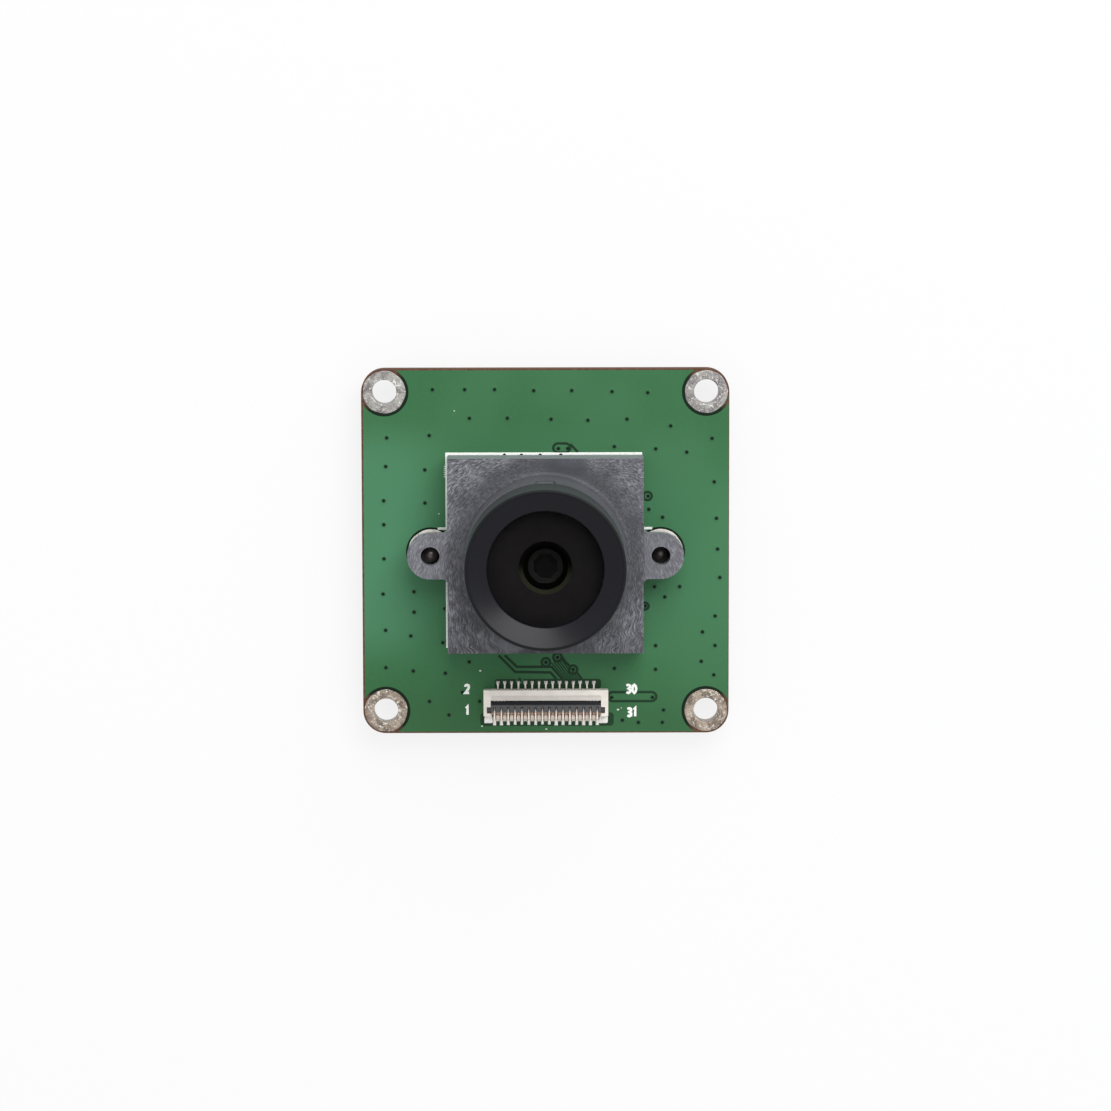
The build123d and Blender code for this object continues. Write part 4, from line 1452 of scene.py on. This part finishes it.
def chip_ends(node):
    """Two grids for a chip part: sections go from inside the cap to the foot of the slope."""
    low, high = box_corners(node)
    centre, size = (low + high) / 2, high - low
    along = X if size[0] > size[1] else Y
    half, wide, tall = size[along] / 2, size[1 - along] / 2 + CAP_THICK, size[2] + CAP_THICK
    t = np.linspace(0, 1, 6)
    cap_face = half + CAP_THICK
    cap_back = half - CAP_LONG
    reach = np.array([cap_back, cap_back, half - 0.03, cap_face, *(cap_face + SLOPE_LONG * t)])
    level = np.array([0.0, tall, tall, tall - 0.03, *((tall - 0.08) * (1 - t) ** 2 * 0.8 + 0.015)])
    width = np.array([wide, wide, wide, wide - 0.02, *(wide * (1 - 0.12 * t))])
    ends = []
    for side in (-1, 1):
        across = np.array([-1, -1, -0.8, 0.8, 1, 1])
        up = np.array([0, 0.86, 1, 1, 0.86, 0])
        line = side * reach[:, None] + 0 * across
        cross = width[:, None] * across
        down = BACK - level[:, None] * up
        first, second = (line, cross) if along == X else (cross, line)
        points = np.stack([centre[0] + first, centre[1] + second, down], axis=-1)
        ends.append(points)
    return ends


chips = sorted(name for name in NODES if name.startswith(("capacitor_", "resistor_")))
ends = np.array([grid for name in chips for grid in chip_ends(name)])
piece("chip_ends", surface("chip_ends", ends, False, True), SOLDER)

# %% [markdown]
# ## Solder on the remaining feet
# The regulators' five leads and the connector's two side tabs end on pads,
# each with a heap of solder round its toe.

# %% Lead and tab solder
LEAD_STEP = 0.95
TOE = 0.12
lead_places = []
for number in (1, 2):
    low, high = box_corners(f"regulator_{number}_leads")
    middle = (low + high) / 2
    lead_places += [(middle[0] + k * LEAD_STEP, high[1] - TOE) for k in (-1, 0, 1)]
    lead_places += [(middle[0] + k * LEAD_STEP, low[1] + TOE) for k in (-1, 1)]
lead_heap = heaps(np.array(lead_places), 0.6, 0.5, 0.14, BACK, -1)
tab_places = []
for side in ("left", "right"):
    low, high = box_corners(f"connector_tab_{side}")
    tab_places.append(((low[0] + high[0]) / 2, low[1] + TOE))
tab_heap = heaps(np.array(tab_places), 0.6, 0.8, 0.2, FRONT)
foot_heaps = np.concatenate([lead_heap, tab_heap])
piece("foot_solder", surface("foot_solder", foot_heaps, True, False), SOLDER)

# %% [markdown]
# ## Floor and light
# The photograph has a white ground and very soft light with its stronger side
# at the top of the picture. A pale floor lies under the board, the sky is a
# plain pale dome, and one large lamp stands behind the board's upper edge.
# Camera, mirror and glass rays see the floor nearly white, without more light
# falling on the object.

# %% Floor
FLOOR_HALF = 600.0
FLOOR_WHITE = 0.84
floor_level = cad_box[0][Z] / MM - 0.02


def floor_paper(name):
    """White paper that camera, mirror and glass rays see mostly lit, so it keeps a soft shadow."""
    material, tree = finish(name, base=colour(242, 242, 243), Roughness=0.9)
    path = add(tree, "ShaderNodeLightPath")
    seen = calc(tree, "MAXIMUM", path.outputs["Is Camera Ray"], path.outputs["Is Glossy Ray"])
    seen = calc(tree, "MAXIMUM", seen, path.outputs["Is Transmission Ray"])
    share = times(tree, seen, FLOOR_WHITE)
    white = add(tree, "ShaderNodeEmission", {"Color": colour(252, 252, 252), "Strength": 1.0})
    paper = tree.nodes["Principled BSDF"].outputs[0]
    both = add(tree, "ShaderNodeMixShader", {0: share, 1: paper, 2: white.outputs[0]})
    wire(tree, tree.nodes["Material Output"].inputs["Surface"], both.outputs[0])
    return material


floor_ends = np.array([-FLOOR_HALF, FLOOR_HALF])
floor_x, floor_y = np.meshgrid(floor_ends, floor_ends)
floor_mesh = surface("floor", np.stack([floor_x, floor_y, np.full((2, 2), floor_level)], axis=-1))
floor = put("floor", floor_mesh)
floor_mesh.materials.append(floor_paper("floor_paper"))
print("floor at", round(floor_level, 2), "mm")

# %% World and lamp
SKY_STRENGTH = 0.735
LAMP_PLACE = (0.17, 0.4, 0.44)
LAMP_SIZE = 0.5
LAMP_POWER = 3.1


def sky():
    """An even pale dome that lights the object from every side."""
    world = bpy.data.worlds.new("sky")
    bpy.context.scene.world = world
    world.use_nodes = True
    backdrop = world.node_tree.nodes["Background"]
    backdrop.inputs["Color"].default_value = (1.0, 1.0, 1.0, 1.0)
    backdrop.inputs["Strength"].default_value = SKY_STRENGTH


def lamp(name, spot, size, power):
    """A square lamp that looks at the object, with its place and size in metres."""
    data = bpy.data.lights.new(name, "AREA")
    data.shape = "SQUARE"
    data.size = size
    data.energy = power
    made = put(name, data)
    made.location = spot
    made.rotation_euler = (-Vector(spot)).to_track_quat("-Z", "Y").to_euler()
    return made


sky()
lamp("key", LAMP_PLACE, LAMP_SIZE, LAMP_POWER)
bpy.context.scene.view_settings.view_transform = "Standard"
